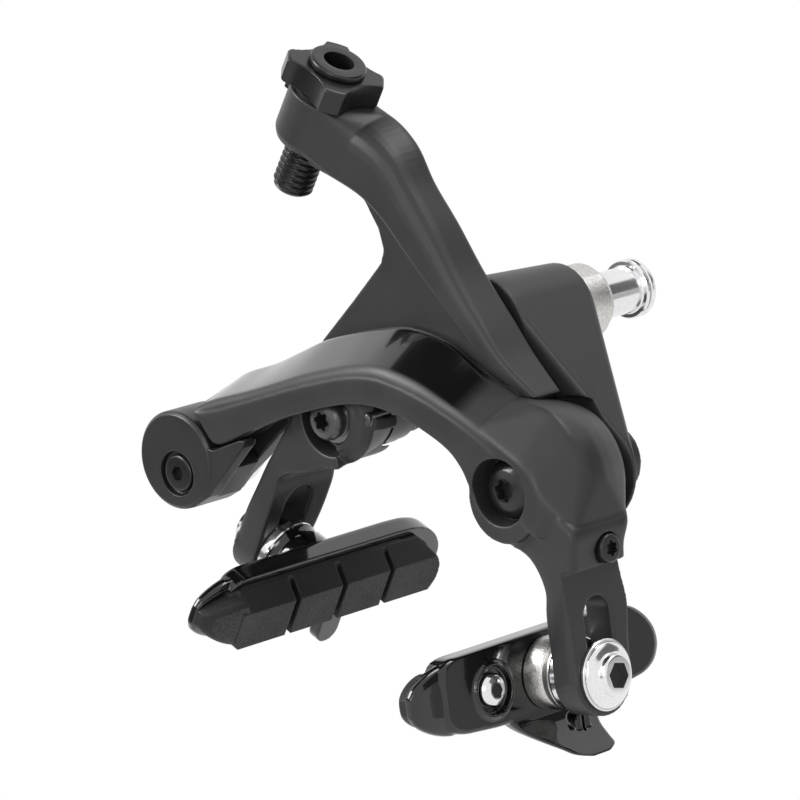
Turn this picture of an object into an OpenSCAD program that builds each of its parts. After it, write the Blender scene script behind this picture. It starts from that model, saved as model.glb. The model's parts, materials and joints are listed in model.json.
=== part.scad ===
// Road bicycle rim brake caliper with two pivots, drawn with the arms open.
// Origin on the mounting stud at the fork face, +Y to the rear, +Z up.

/* [Arms] */
// Half the distance between the two pivots
pivot_half = 19.9; // [19.5:0.1:20.4]
// Pivot height below the mounting stud
pivot_drop = 19.07; // [18.6:0.01:19.6]
// Angle of each leg to the vertical with the arms open
open_angle = 16.5; // [15.5:0.1:17.5]
// Closing travel of each arm
close_angle = 12; // [8:0.5:13]
// Thickness of the legs
leg_t = 5.2; // [4.6:0.1:5.4]
// Width of the legs from front to rear
leg_w = 13.5; // [12.5:0.1:14.5]
// Width of the slot in each leg
slot_w = 6.1; // [6.05:0.05:6.4]
// Travel of the shoe bolt in the slot
slot_travel = 10; // [6:0.5:11]

/* [Mounting] */
// Radius of the mounting stud
stud_r = 3; // [2.5:0.1:3.2]
// Radius of the recessed nut shank
nut_r = 4; // [3.8:0.1:4.3]
// Radius of the recessed nut head
nut_head_r = 5; // [4.7:0.1:5.5]
// Length of the recessed nut
nut_len = 11.8; // [10:0.1:30]
// Thickness of the serrated washer
washer_t = 7; // [6:0.1:8]
// Outer radius of the serrated washer
washer_r = 6.5; // [6:0.1:7]

/* [Pivots] */
// Radius of the pivot bolts
pivot_r = 3; // [2.8:0.05:3.2]
// Wall of the pivot bushes
bush_wall = 1; // [0.8:0.1:1.3]
// Radius of the right pivot bolt head
right_head_r = 5; // [4.5:0.1:5.2]
// Radius of the left pivot bolt head
left_head_r = 3.2; // [3:0.1:3.6]

/* [Adjuster] */
// Radius of the threaded adjuster bolt
adjuster_r = 3.5; // [3.2:0.05:3.8]
// Radius of the cable housing socket
housing_r = 2.6; // [2.5:0.05:2.7]
// Lean of the adjuster towards the middle
adjuster_lean = 19; // [17:0.5:21]
// Height of the four-lobed nut
adjuster_nut_h = 4.6; // [4:0.1:5]

/* [Shoes] */
// Distance from leg middle to the back of the shoe holder
stack_x = 9.9; // [9.5:0.1:10.5]
// Thickness of the shoe holder
holder_t = 3.8; // [3.4:0.1:4.4]
// Distance from leg middle to the braking face of the pad
pad_face_x = 17.7; // [16.5:0.1:18.5]
// Radius of the shoe bolt
shoe_bolt_r = 3; // [2.7:0.05:3]
// Radius of the shoe bolt flange
flange_r = 5.9; // [5.5:0.1:6.2]

/* [Hidden] */
$fn = 64;
// Gap of a running fit on a radius
run = 0.03;
// Small gap between neighbours that slide past each other
slide_gap = 0.05;
// Cut that reaches past a face
past = 1;

right_pivot = [pivot_half, -pivot_drop];
left_pivot = [-pivot_half, -pivot_drop];
bush_r = pivot_r + run + bush_wall;

// Leg frame, origin on the shoe bolt axis in the middle of the leg
leg_out = 7.7;
leg_drop = 31.6;
leg_x = pivot_half + leg_out * cos(open_angle) + leg_drop * sin(open_angle);
leg_z = -pivot_drop + leg_out * sin(open_angle) - leg_drop * cos(open_angle);
leg_y = -33.75;

// Flat seat of the shoe flange past the top of the slot's travel
seat_past_slot = 8.2;

// Bracket planes from front to rear
stud_front_y = -26;
pivot_front_y = -20;
pivot_rear_y = -13.4;
bracket_rear_y = -washer_t;
boss_r = 8.5;
rear_boss_r = 7.6;
right_boss_r = 6.6;
right_face_r = 9.9;
left_boss_r = 5.4;
// Room in the bracket for the right hub and for the spring's run
hub_clear_r = 12.2;
spring_clear_r = 10;

// Right arm planes
hub_rear_y = -22;
head_front_y = -42;
head_seat_y = -38.2;
recess_r = right_head_r + 0.6;
// Middle of the raised rim round the right bolt head, seen from the pivot
rim_shift = [0.7, 0, -1.2];

// Left arm planes
web_front_y = -33.3;
web_rear_y = -27.6;
left_hub_front_y = -40.2;
left_seat_y = -38.4;
left_hub_rear_y = -31;
left_disc_r = 6.5;
left_disc_t = [3.55, 2.1];
disc_rear_y = pivot_front_y;

disc_y = [left_hub_rear_y + slide_gap, left_hub_rear_y + slide_gap + left_disc_t[0]];

// Roller on the rear of the right arm
roller_r = 2.4;
roller_c = [0, -4.9];
roller_y0 = -33.2;
roller_y1 = -28.4;
roller_pin_r = 1.2;

// Cable lever
drum_c = [-50.6, -35.1];
drum_r = 8.5;
drum_front_y = -44;
drum_rear_y = -34.6;
ear_front_y = -34.2;
ear_rear_y = -30.6;
axle_r = 3;
axle_front_y = -40;
lever_screw_c = [-49.8, -37.2];

// Centring screw on the outer face of the right leg, its place as y and z of the leg frame
screw_c = [1.4, 20.7];
screw_head_r = 2.45;
screw_seat = 4.6;
screw_head_t = 1.75;
screw_r = 1.1;

// Adjuster frame, origin at the foot of the threaded bolt
adjuster_foot = [-38, -34, 15.3];
boss_low = 9;
boss_high = 19;
adj_boss_r = 6.3;
clip_t = 0.6;
nut_low = boss_high + clip_t + slide_gap;
nut_high = nut_low + adjuster_nut_h;
collar_t = 1.2;
collar_r = 4.9;
adjuster_top = nut_high + slide_gap + collar_t;

function cw(p, b) = [p[0] * cos(b) + p[1] * sin(b), -p[0] * sin(b) + p[1] * cos(b)];
function roller_in_left_arm(b) = left_pivot
  + cw(right_pivot + cw(roller_c - right_pivot, b) - left_pivot, b);
function unit(v) = v / norm(v);
function roller_step(b) = unit(roller_in_left_arm(b + 0.5) - roller_in_left_arm(b - 0.5));
function cam_point(b) = roller_in_left_arm(b)
  + (roller_r + slide_gap) * [-roller_step(b)[1], roller_step(b)[0]];

// Corner of a section softened with three points
function soft(p, a, b, r) = [p + r * unit(a - p), p + 0.3 * r * (unit(a - p) + unit(b - p)),
  p + r * unit(b - p)];

// Section of an arm between a lower point and an upper point of its front face.
// Row: lower x, lower z, upper x, upper z, front y, rear y, rear top rise, rear foot rise, softness
function section(row) = let(
  a = [row[0], row[1]],
  b = [row[2], row[3]],
  len = norm(b - a),
  u = (b - a) / len,
  q = [[0, row[4]], [len, row[4]], [len + row[6], row[5]], [row[7], row[5]]],
  flat = [for (i = [0:3]) each soft(q[i], q[(i + 3) % 4], q[(i + 1) % 4],
    i == 0 ? 0.5 * row[8] : row[8])])
  [for (p = flat) [a[0] + u[0] * p[0], p[1], a[1] + u[1] * p[0]]];

// Leg point in the arm plane from outward and upward distances
function leg_point(n, t) = [leg_x + n * cos(open_angle) - t * sin(open_angle),
  leg_z + n * sin(open_angle) + t * cos(open_angle)];
function leg_row(t, inner, outer, y0, y1, s) = let(
  a = leg_point(inner, t),
  b = leg_point(outer, t))
  [a[0], a[1], b[0], b[1], y0, y1, 0, 0, s];

module loft(rings) {
  n = len(rings[0]);
  m = len(rings);
  sides = [for (i = [0:m - 2], j = [0:n - 1]) each [
    [i * n + j, i * n + (j + 1) % n, (i + 1) * n + (j + 1) % n],
    [i * n + j, (i + 1) * n + (j + 1) % n, (i + 1) * n + j]]];
  polyhedron([for (r = rings) each r],
    concat(sides, [[for (j = [n - 1:-1:0]) j]], [[for (j = [0:n - 1]) (m - 1) * n + j]]),
    convexity = 6);
}

module rod(r, y0, y1) {
  translate([0, y1, 0])
    rotate([90, 0, 0])
      cylinder(h = y1 - y0, r = r);
}

module cone(r0, r1, y0, y1) {
  translate([0, y1, 0])
    rotate([90, 0, 0])
      cylinder(h = y1 - y0, r1 = r1, r2 = r0);
}

module hexagon(r, y0, y1) {
  translate([0, y1, 0])
    rotate([90, 0, 0])
      cylinder(h = y1 - y0, r = r, $fn = 6);
}

module plate(points, y0, y1) {
  translate([0, y1, 0])
    rotate([90, 0, 0])
      linear_extrude(y1 - y0)
        polygon(points);
}

module at(p) {
  translate([p[0], 0, p[1]])
    children();
}

module on_adjuster() {
  translate(adjuster_foot)
    rotate([0, adjuster_lean, 0])
      children();
}

// Places a piece drawn in the right leg frame on the right or the left side
module on_leg(side) {
  mirror([side < 0 ? 1 : 0, 0, 0])
    translate([leg_x, leg_y, leg_z])
      rotate([0, -open_angle, 0])
        children();
}

// Rod along the bolt axis of a shoe between two distances from the leg middle
module bolt_rod(r, x0, x1) {
  translate([x0, 0, 0])
    rotate([0, 90, 0])
      cylinder(h = x1 - x0, r = r);
}

module bolt_hexagon(r, x0, x1) {
  translate([x0, 0, 0])
    rotate([0, 90, 0])
      cylinder(h = x1 - x0, r = r, $fn = 6);
}

module star_socket(r, y0, y1) {
  rod(r * 0.74, y0, y1);
  for (i = [0:5])
    rotate([0, i * 60, 0])
      translate([r * 0.74, 0, 0])
        rod(r * 0.26, y0, y1);
}

module bracket_side(side) {
  hull() {
    rod(boss_r, stud_front_y, stud_front_y + 3, $fn = 32);
    rod(rear_boss_r, bracket_rear_y - 3, bracket_rear_y, $fn = 32);
    at([side * pivot_half, -pivot_drop])
      rod(side > 0 ? right_boss_r : left_boss_r, pivot_front_y, pivot_front_y + 3, $fn = 32);
    if (side > 0)
      at(right_pivot)
        rod(right_face_r, pivot_front_y, pivot_front_y + 0.5, $fn = 48);
    at([side * pivot_half, -pivot_drop])
      rod(3.6, pivot_rear_y - 1.8, pivot_rear_y - 0.6, $fn = 32);
  }
}

module bracket() {
  color([0.16, 0.16, 0.17])
    difference() {
      union() {
        bracket_side(1);
        bracket_side(-1);
        for (s = [-1, 1])
          at([s * pivot_half, -pivot_drop])
            rod(s > 0 ? right_boss_r - 0.8 : left_boss_r - 0.2, pivot_front_y + 2, pivot_rear_y);
      }
      rod(stud_r, stud_front_y - past, past);
      rod(5.05, stud_front_y - past, -22);
      for (s = [-1, 1])
        at([s * pivot_half, -pivot_drop])
          rod(pivot_r, stud_front_y - past, past);
      for (s = [-1, 1])
        at([s * pivot_half, -pivot_drop])
          rod(7, stud_front_y - past, pivot_front_y);
      at(right_pivot)
        rod(hub_clear_r, stud_front_y - past, hub_rear_y + 0.3);
      at(left_pivot)
        rod(spring_clear_r, stud_front_y - past, hub_rear_y - 0.4);
    }
}

module mounting_bolt() {
  color([0.5, 0.5, 0.52])
    difference() {
      union() {
        rod(stud_r, -22.5, 8);
        rod(5, stud_front_y + 0.1, -22);
      }
      hexagon(2.9, stud_front_y - past, -23.4);
    }
}

module serrated_washer() {
  color([0.75, 0.75, 0.77])
    difference() {
      union() {
        rod(washer_r, -washer_t, -1.4);
        cone(washer_r, washer_r - 0.9, -1.4, 0);
      }
      rod(stud_r + 0.1, -washer_t - past, past);
      rod(nut_r + 0.1, -0.6, past);
    }
}

module recessed_nut() {
  color([0.8, 0.8, 0.82])
    difference() {
      union() {
        rod(nut_r, 0, nut_len - 2.4);
        rod(nut_head_r, nut_len - 2.5, nut_len - 1.7);
        rod(nut_head_r - 0.5, nut_len - 1.8, nut_len - 1.2);
        rod(nut_head_r, nut_len - 1.3, nut_len - 0.3);
        cone(nut_head_r, nut_head_r - 0.3, nut_len - 0.3, nut_len);
      }
      rod(stud_r, -past, 8.2);
      hexagon(2.9, nut_len - 2.8, nut_len + past);
    }
}

module right_pivot_bolt() {
  color([0.14, 0.14, 0.15])
    at(right_pivot)
      difference() {
        union() {
          rod(pivot_r, head_seat_y - 0.5, pivot_rear_y + 0.3);
          rod(right_head_r, head_front_y + 0.6, head_seat_y);
          cone(right_head_r - 0.8, right_head_r, head_front_y, head_front_y + 0.6);
        }
        star_socket(2.2, head_front_y - past, head_front_y + 2.4);
      }
}

module left_pivot_bolt() {
  color([0.14, 0.14, 0.15])
    at(left_pivot)
      difference() {
        union() {
          rod(pivot_r, left_seat_y - 1, pivot_rear_y + 0.3);
          rod(left_head_r, head_front_y + 0.9, left_seat_y - 0.6);
          cone(left_head_r - 0.9, left_head_r, head_front_y, head_front_y + 0.9);
        }
        star_socket(1.8, head_front_y - past, head_front_y + 2);
      }
}

// Bright flange between the left bolt head and the hub
module left_flange_ring() {
  color([0.8, 0.8, 0.82])
    at(left_pivot)
      difference() {
        union() {
          rod(4.2, left_seat_y - 0.6, left_seat_y - slide_gap);
        }
        rod(pivot_r + 0.02, left_seat_y - past, left_seat_y + past);
      }
}

module pivot_spacers() {
  color([0.3, 0.3, 0.31])
    at(right_pivot)
      difference() {
        rod(6.2, hub_rear_y + slide_gap, pivot_front_y);
        rod(pivot_r + 0.02, hub_rear_y - past, pivot_front_y + past);
      }
}

module spring_discs() {
  color([0.14, 0.14, 0.15])
    at(left_pivot)
      for (i = [0, 1])
        difference() {
          rod(left_disc_r - 0.2 * i, disc_y[i], disc_y[i] + left_disc_t[i]);
          rod(pivot_r + 0.02, disc_y[i] - past, disc_y[i] + left_disc_t[i] + past);
        }
}

module spring_sleeve() {
  color([0.5, 0.5, 0.52])
    at(left_pivot)
      difference() {
        rod(4.1, disc_y[1] + left_disc_t[1], disc_rear_y);
        rod(pivot_r + 0.02, left_hub_rear_y, disc_rear_y + past);
      }
}

// Wire wound round the sleeve, its front end runs along the hub and hooks on it
wire_r = 0.6;
coil_r = 5.1;
coil_turns = 2;
coil_y0 = disc_rear_y - wire_r - 0.2;
coil_rise = 1.25;
coil_steps = 8;
wire_sides = 6;
function coil_path(i) = let(a = i * 360 / coil_steps)
  [coil_r * cos(a), coil_y0 - coil_rise * i / coil_steps, coil_r * sin(a)];
coil_end_y = coil_y0 - coil_rise * coil_turns;
spring_run = [8.6, 3.2];
wire_path = concat([for (i = [0:coil_steps * coil_turns]) coil_path(i)],
  [[5.6, coil_end_y - 0.1, 1.6], [7.2, coil_end_y - 0.3, 2.7], [8.2, coil_end_y - 1, 3.1],
   [spring_run[0], coil_end_y - 2.4, spring_run[1]], [spring_run[0], -36, spring_run[1]],
   [spring_run[0], -39.8, spring_run[1]], [8.9, -40.8, 3.5], [9.4, -41.0, 3.6], [9.7, -41.0, 3.0],
   [9.5, -41.0, 2.2]]);
function wire_dir(i) = unit(wire_path[min(i + 1, len(wire_path) - 1)] - wire_path[max(i - 1, 0)]);
function wire_ring(i) = let(
  d = wire_dir(i),
  side = unit(cross(d, abs(d[1]) > 0.8 ? [0, 0, 1] : [0, 1, 0])),
  up = cross(side, d))
  [for (k = [0:wire_sides - 1]) let(a = k * 360 / wire_sides)
    wire_path[i] + wire_r * (cos(a) * side + sin(a) * up)];

module return_spring() {
  color([0.75, 0.75, 0.77])
    at(left_pivot)
      loft([for (i = [0:len(wire_path) - 1]) wire_ring(i)]);
}

right_rows = [
  [-45.9, -26.9, -48.2, -25.2, -43.4, -32.6, 1.8, 0.3, 0.7],
  [-42.2, -30.0, -44.4, -23.0, -43.2, -32.6, 3.7, 0.5, 1.1],
  [-35.0, -25.7, -37.2, -19.4, -43, -33.0, 4.1, 2.0, 1.2],
  [-29.0, -21.9, -31.3, -16.4, -43, -33.6, 4.9, 5.0, 1.2],
  [-23.4, -18.9, -25.4, -13.3, -43, -34, 5.8, 7.0, 1.2],
  [-18.2, -16.3, -19.8, -10.6, -43, -34, 6.1, 7.5, 1.2],
  [-13.0, -14.2, -14.2, -8.2, -43, -34, 6.2, 7.0, 1.2],
  [-7.4, -13.0, -8.1, -6.6, -43, -34, 6.6, 6.0, 1.2],
  [-0.8, -13.1, -0.4, -6.7, -43, -34, 6.6, 5.0, 1.2],
  [4.6, -14.2, 6.4, -7.8, -42.8, -33.8, 5.3, 4.0, 1.2],
  [8.6, -15.6, 13.6, -9.6, -42.6, -33.6, 5.4, 2.5, 1.2],
  [11.4, -17.8, 20.2, -12.2, -42.4, -33.4, 5.6, 1, 1.3],
  [13.7, -20.6, 26.2, -15.6, -42.4, -31, 3, 0, 1.4],
  [15.8, -24.6, 30.6, -19.2, -41.8, -24.5, 0.4, 0, 1.6],
  [20.2, -27.2, 34.9, -22.0, -42, -25.2, 0.2, 0, 1.4]];
right_leg_rows = [
  leg_row(20.5, -4.4, 5.3, -41.4, -26.0, 1.4),
  leg_row(15.5, -2.0, 4.3, -40.8, -26.3, 1.2),
  leg_row(11, -leg_t / 2, 3.5, leg_y - leg_w / 2, leg_y + leg_w / 2 + 0.6, 0.9),
  leg_row(6, -leg_t / 2, leg_t / 2 + 0.1, leg_y - leg_w / 2, leg_y + leg_w / 2 + 0.5, 0.7),
  leg_row(-0.6, -leg_t / 2, leg_t / 2, leg_y - leg_w / 2 + 0.1, leg_y + leg_w / 2 - 0.1, 0.5)];

// Place of the centring screw on the right leg, its axis along the bolt axis of the shoe
module on_screw() {
  on_leg(1)
    translate([0, screw_c[0], screw_c[1]])
      children();
}

// Round foot of a leg
module leg_end(side) {
  on_leg(side)
    bolt_rod(leg_w / 2, -leg_t / 2, leg_t / 2);
}

// Slot through a leg and the flat seat round it on the outer face
module leg_slot(side) {
  on_leg(side) {
    bolt_rod(slot_w / 2, -20, 20);
    translate([0, 0, slot_travel])
      bolt_rod(slot_w / 2, -20, 20);
    translate([-20, -slot_w / 2, 0])
      cube([40, slot_w, slot_travel]);
    translate([leg_t / 2, -10, -9])
      cube([4, 20, 9 + slot_travel + seat_past_slot]);
  }
}

// Outer slope of the right hub as discs: front, radius, share of the rim's shift
hub_discs = [[-42.3, 8, 1], [-35, 13, 0.15], [-33.6, 13.4, 0.05], [-31, 13.4, 0], [-28, 12.7, 0],
  [-24, 11.4, 0]];
// Points where that slope runs into the arm and into the leg
hub_reach = [[13.6, -42.4, -9.8], [16.8, -33.8, -5.8], [34.6, -41, -22.2], [35.2, -40.8, -26],
  [34.6, -25.6, -22.2], [35.2, -26.4, -26]];

ear_outline = [[-34.0, -20.6], [-34.0, -25.7], [-36.5, -28.4], [-40.7, -34.0], [-44.4, -38.4],
  [-46.5, -41.6], [-52, -42.4], [-56.4, -40.2], [-57.6, -34.6], [-54.6, -29.2], [-49.6, -25.4],
  [-44.0, -21.4], [-38.0, -17.6]];

module right_arm() {
  color([0.13, 0.13, 0.14])
    difference() {
      union() {
        loft([for (row = concat(right_rows, right_leg_rows)) section(row)]);
        leg_end(1);
        at(right_pivot) {
          translate(rim_shift)
            rod(7.2, head_front_y - 0.1, -34);
          cone(12.2, 11.4, -34.4, -24);
          cone(11.4, 9.4, -24, hub_rear_y);
          intersection() {
            hull() {
              for (d = hub_discs)
                translate(d[2] * rim_shift)
                  rod(d[1], d[0], d[0] + 0.2, $fn = 48);
              for (p = hub_reach)
                translate(p - [right_pivot[0], 0, right_pivot[1]])
                  cube(0.2, center = true);
            }
            plate([[0, 0], [20, -12], [20, 20], [-17, 20]], -44, -22);
          }
        }
        plate(ear_outline, ear_front_y, ear_rear_y);
      }
      at(right_pivot) {
        rod(recess_r, head_front_y - past, head_seat_y);
        rod(bush_r, head_front_y - past, hub_rear_y + past);
      }
      leg_slot(1);
      on_screw() {
        bolt_rod(screw_head_r + 0.2, screw_seat, screw_seat + 8);
        bolt_rod(screw_r, screw_seat - 3, screw_seat + past);
      }
      at(roller_c)
        rod(roller_pin_r, -38, roller_y0 + past);
      at(drum_c)
        rod(axle_r, drum_front_y - past, ear_rear_y + past);
    }
}

module right_bush() {
  color([0.6, 0.5, 0.3])
    at(right_pivot)
      difference() {
        rod(bush_r, head_seat_y + slide_gap, hub_rear_y);
        rod(pivot_r + run, head_seat_y - past, hub_rear_y + past);
      }
}

module roller_pin() {
  color([0.6, 0.6, 0.62])
    at(roller_c) {
      rod(roller_pin_r, -38, roller_y1 + 0.5);
      rod(1.8, roller_y1 + slide_gap, roller_y1 + 0.55);
    }
}

module link_roller() {
  color([0.5, 0.5, 0.52])
    at(roller_c)
      difference() {
        rod(roller_r, roller_y0, roller_y1);
        rod(roller_pin_r + run, roller_y0 - past, roller_y1 + past);
      }
}

module centring_screw() {
  color([0.12, 0.12, 0.13])
    on_screw()
      difference() {
        union() {
          bolt_rod(screw_head_r, screw_seat + slide_gap, screw_seat + screw_head_t);
          bolt_rod(screw_r, screw_seat - 1.4, screw_seat + past);
        }
        rotate([0, 0, 90])
          star_socket(1.3, -screw_seat - screw_head_t - past, -screw_seat - screw_head_t + 1);
      }
}

module anchor_bolt() {
  color([0.75, 0.75, 0.77])
    at(drum_c) {
      rod(axle_r, axle_front_y, ear_rear_y + 2);
      hexagon(5.6, ear_rear_y + 1.4, ear_rear_y + 5);
      rod(3.6, ear_rear_y + 4.9, ear_rear_y + 6);
    }
}

module anchor_plate() {
  color([0.75, 0.75, 0.77])
    at(drum_c)
      difference() {
        rod(6.8, ear_rear_y, ear_rear_y + 1.4);
        rod(axle_r, ear_rear_y - past, ear_rear_y + 1.4 + past);
      }
}

lever_tail = [[-52, -30.5], [-46.4, -29.9], [-44.9, -30.3], [-43.2, -30.9], [-42, -30.7],
  [-40.1, -29.4], [-36.6, -27.3], [-35.1, -26.9], [-35.5, -28.2], [-38.2, -32.4], [-42.4, -39.3],
  [-45.8, -42.2], [-49, -43.3]];
lever_tail_rear = [[-52, -30.5], [-46.4, -29.9], [-44.4, -30.9], [-41.5, -31.8], [-39.8, -33.8],
  [-43.4, -40.2], [-46.2, -42.4], [-49, -43.3]];

module release_lever() {
  color([0.13, 0.13, 0.14])
    difference() {
      union() {
        at(drum_c) {
          rod(drum_r, drum_front_y + 0.6, drum_rear_y);
          cone(drum_r - 0.6, drum_r, drum_front_y, drum_front_y + 0.6);
        }
        plate(lever_tail, drum_front_y + 0.3, -40.8);
        plate(lever_tail_rear, -40.9, drum_rear_y);
      }
      at(lever_screw_c) {
        rod(3.85, drum_front_y - past, drum_front_y + 1.2);
        rod(1.5, drum_front_y - past, -41);
      }
      at(drum_c)
        rod(axle_r + run, axle_front_y - slide_gap, drum_rear_y + past);
    }
}

module lever_screw() {
  color([0.16, 0.16, 0.17])
    at(lever_screw_c)
      difference() {
        union() {
          rod(3.2, drum_front_y + 0.1, drum_front_y + 1.2);
          rod(1.5, drum_front_y + past, -41);
        }
        hexagon(1.2, drum_front_y - past, drum_front_y + 1);
      }
}

bar_rows = [
  [-32.4, 21.2, -30.2, 29.6, -37, -29, 2.2, 0, 1.2],
  [-26.5, 20.1, -23.4, 29.4, -36.6, -27.8, 2.2, 0, 1.3],
  [-21.0, 18.6, -17.0, 27.0, -36.2, -27.4, 1.2, 0, 1.3],
  [-16.0, 16.0, -11.7, 22.4, -36, -27.4, 0, 0, 1.2],
  [-10.4, 11.8, -6.0, 17.0, -36, -27.2, 0, 0, 1.2],
  [-3.3, 6.8, 0.4, 10.4, -36, -27.2, 0, 0, 1.0],
  [4.8, 1.6, 7.4, 4.2, -36, -27.2, 0, 0, 0.7],
  [10.4, -2.2, 12.2, -0.2, -35.6, -27.2, 0, 0, 0.5],
  [15.4, -5.9, 18.6, -5.2, -33.4, -27.2, 0, 0, 0.2]];
web_outline = concat(
  [[-30.2, -20], [-30.2, -13], [-29.0, -9.2], [-23.1, -0.7], [-20.1, 3.8], [-17.6, 7.6],
   [-17.2, 10.0], [-18.7, 13.2], [-22, 16.8], [-26.5, 20.6], [-22, 24], [-10, 16], [0, 9.2],
   [8, 3.0], [15.6, -3.4], [16.2, -5.6]],
  [for (b = [close_angle + 2:-2:0]) cam_point(b)],
  [cam_point(0) - 2.9 * roller_step(0), [-4.8, -7.2], [-6.6, -10.4], [-9.4, -14.4], [-14, -19],
   [-19.9, -21]]);
left_leg_rows = [
  leg_row(30, -13.6, 0.2, -40, -28.6, 0.9),
  leg_row(26, -12.6, 0.4, -40, -28, 0.9),
  leg_row(20.5, -7.4, 1.0, -40.4, -27, 0.9),
  leg_row(16.5, -leg_t / 2, 1.6, -40.5, -26, 0.9),
  leg_row(12, -leg_t / 2, leg_t / 2 - 0.6, leg_y - leg_w / 2, -25.8, 0.8),
  leg_row(6, -leg_t / 2, leg_t / 2, leg_y - leg_w / 2, -26, 0.8),
  leg_row(-0.6, -leg_t / 2, leg_t / 2, leg_y - leg_w / 2 + 0.1, leg_y + leg_w / 2 - 0.1, 0.8)];

module left_arm() {
  color([0.13, 0.13, 0.14])
    difference() {
      union() {
        loft([for (row = bar_rows) section(row)]);
        plate(web_outline, web_front_y, web_rear_y);
        mirror([1, 0, 0])
          loft([for (row = left_leg_rows) section(row)]);
        leg_end(-1);
        at(left_pivot)
          cone(8.6, 6.3, left_hub_front_y, left_hub_rear_y);
        at(left_pivot + [7.8, 3.2])
          rod(3.3, left_hub_front_y, -34);
        on_adjuster()
          translate([0, 0, boss_low])
            cylinder(h = boss_high - boss_low, r = adj_boss_r);
      }
      plate([[-36, -24], [-24, -17.7], [-14, -12.8], [-8, -11], [-4, -9], [-4, 0], [-36, 0]], -45,
        web_front_y);
      at(left_pivot) {
        rod(5.6, left_hub_front_y - past, left_seat_y);
        rod(bush_r, left_hub_front_y - past, left_hub_rear_y + past);
        rod(left_disc_r + 0.3, left_hub_rear_y, -20);
        at(spring_run)
          rod(1, left_hub_front_y - past, web_rear_y + past);
      }
      leg_slot(-1);
      on_adjuster()
        cylinder(h = 40, r = adjuster_r + 0.1);
    }
}

module left_bush() {
  color([0.6, 0.5, 0.3])
    at(left_pivot)
      difference() {
        rod(bush_r, left_seat_y + slide_gap, left_hub_rear_y);
        rod(pivot_r + run, left_seat_y - past, left_hub_rear_y + past);
      }
}

module adjuster_clip() {
  color([0.1, 0.1, 0.1])
    on_adjuster()
      difference() {
        union() {
          translate([0, 0, boss_high])
            cylinder(h = clip_t, r = 5.6);
          translate([-7.2, -2, boss_high])
            cube([4, 4, clip_t]);
          translate([-7.2, -2, boss_high - 3])
            cube([0.8, 4, 3.2]);
        }
        translate([0, 0, boss_high - past])
          cylinder(h = 3, r = adjuster_r + 0.1);
      }
}

module adjuster_nut() {
  color([0.12, 0.12, 0.13])
    on_adjuster()
      difference() {
        translate([0, 0, nut_low])
          linear_extrude(adjuster_nut_h)
            difference() {
              rotate(45)
                square(16.6, center = true);
              for (i = [0:3])
                rotate(i * 90)
                  translate([14.33, 0])
                    circle(8.63);
            }
        cylinder(h = 40, r = adjuster_r + run);
      }
}

module adjuster_bolt() {
  color([0.12, 0.12, 0.13])
    on_adjuster()
      difference() {
        union() {
          cylinder(h = adjuster_top - 0.5, r = adjuster_r);
          translate([0, 0, adjuster_top - collar_t])
            cylinder(h = collar_t - 0.3, r = collar_r);
          translate([0, 0, adjuster_top - 0.3])
            cylinder(h = 0.3, r1 = collar_r, r2 = collar_r - 0.3);
        }
        translate([0, 0, -past])
          cylinder(h = 40, r = 1.2);
        translate([0, 0, adjuster_top - 12])
          cylinder(h = 20, r = housing_r);
      }
}

// Outline of the shoe holder seen along the bolt axis, front to rear and height
holder_outline = [[-25.2, 4.6], [-24, 6.4], [-21.8, 7.1], [15.8, 7.1], [19.6, 6.9], [23, 6.0], [26, 3.8],
  [27.9, 1.2], [28.3, -1.6], [27, -4.2], [24.4, -5.6], [20, -6.2], [-12.6, -6.4], [-21, -5.7],
  [-24.2, -4.6], [-25.2, -2.6]];
// Guide fin under the holder, from its root to its flared edge.
// Row: height, inner side, outer side, front, rear
fin_rows = [[-4.6, -12.6, -10, -12, 15], [-7.6, -12, -9.6, -8.8, 11.5], [-9.8, -9.8, -7.8, -6.2, 9],
  [-12.2, -6.8, -5.2, -3, 8.2], [-14.2, -4.2, -3.0, 0.6, 6.6]];
// Seat of the pad inside the holder
seat_outline = [[-25.8, 4.6], [-22, 5.7], [15, 5.7], [20, 4.8], [23.6, 2.6], [25.8, -0.2],
  [25.2, -2.8], [20, -4.3], [-22, -4.4], [-25.2, -3.2]];
// Outline of the braking part of the pad
body_outline = [[-24.6, 7], [17.5, 7], [20.4, 5], [23.2, 2.4], [24.4, 0.4], [24.5, -2.4], [23.4, -4.4],
  [22.4, -6], [-24.6, -6]];
function grown(points, d) = [for (p = points) [p[0] + (p[0] > 0 ? d : -d), p[1] + (p[1] > 0 ? d : -d)]];
base_t = 1.7;

// Outline in the leg frame pushed out along the bolt axis
module side_plate(points, x0, x1) {
  translate([x0, 0, 0])
    rotate([90, 0, 90])
      linear_extrude(x1 - x0)
        polygon(points);
}

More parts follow.
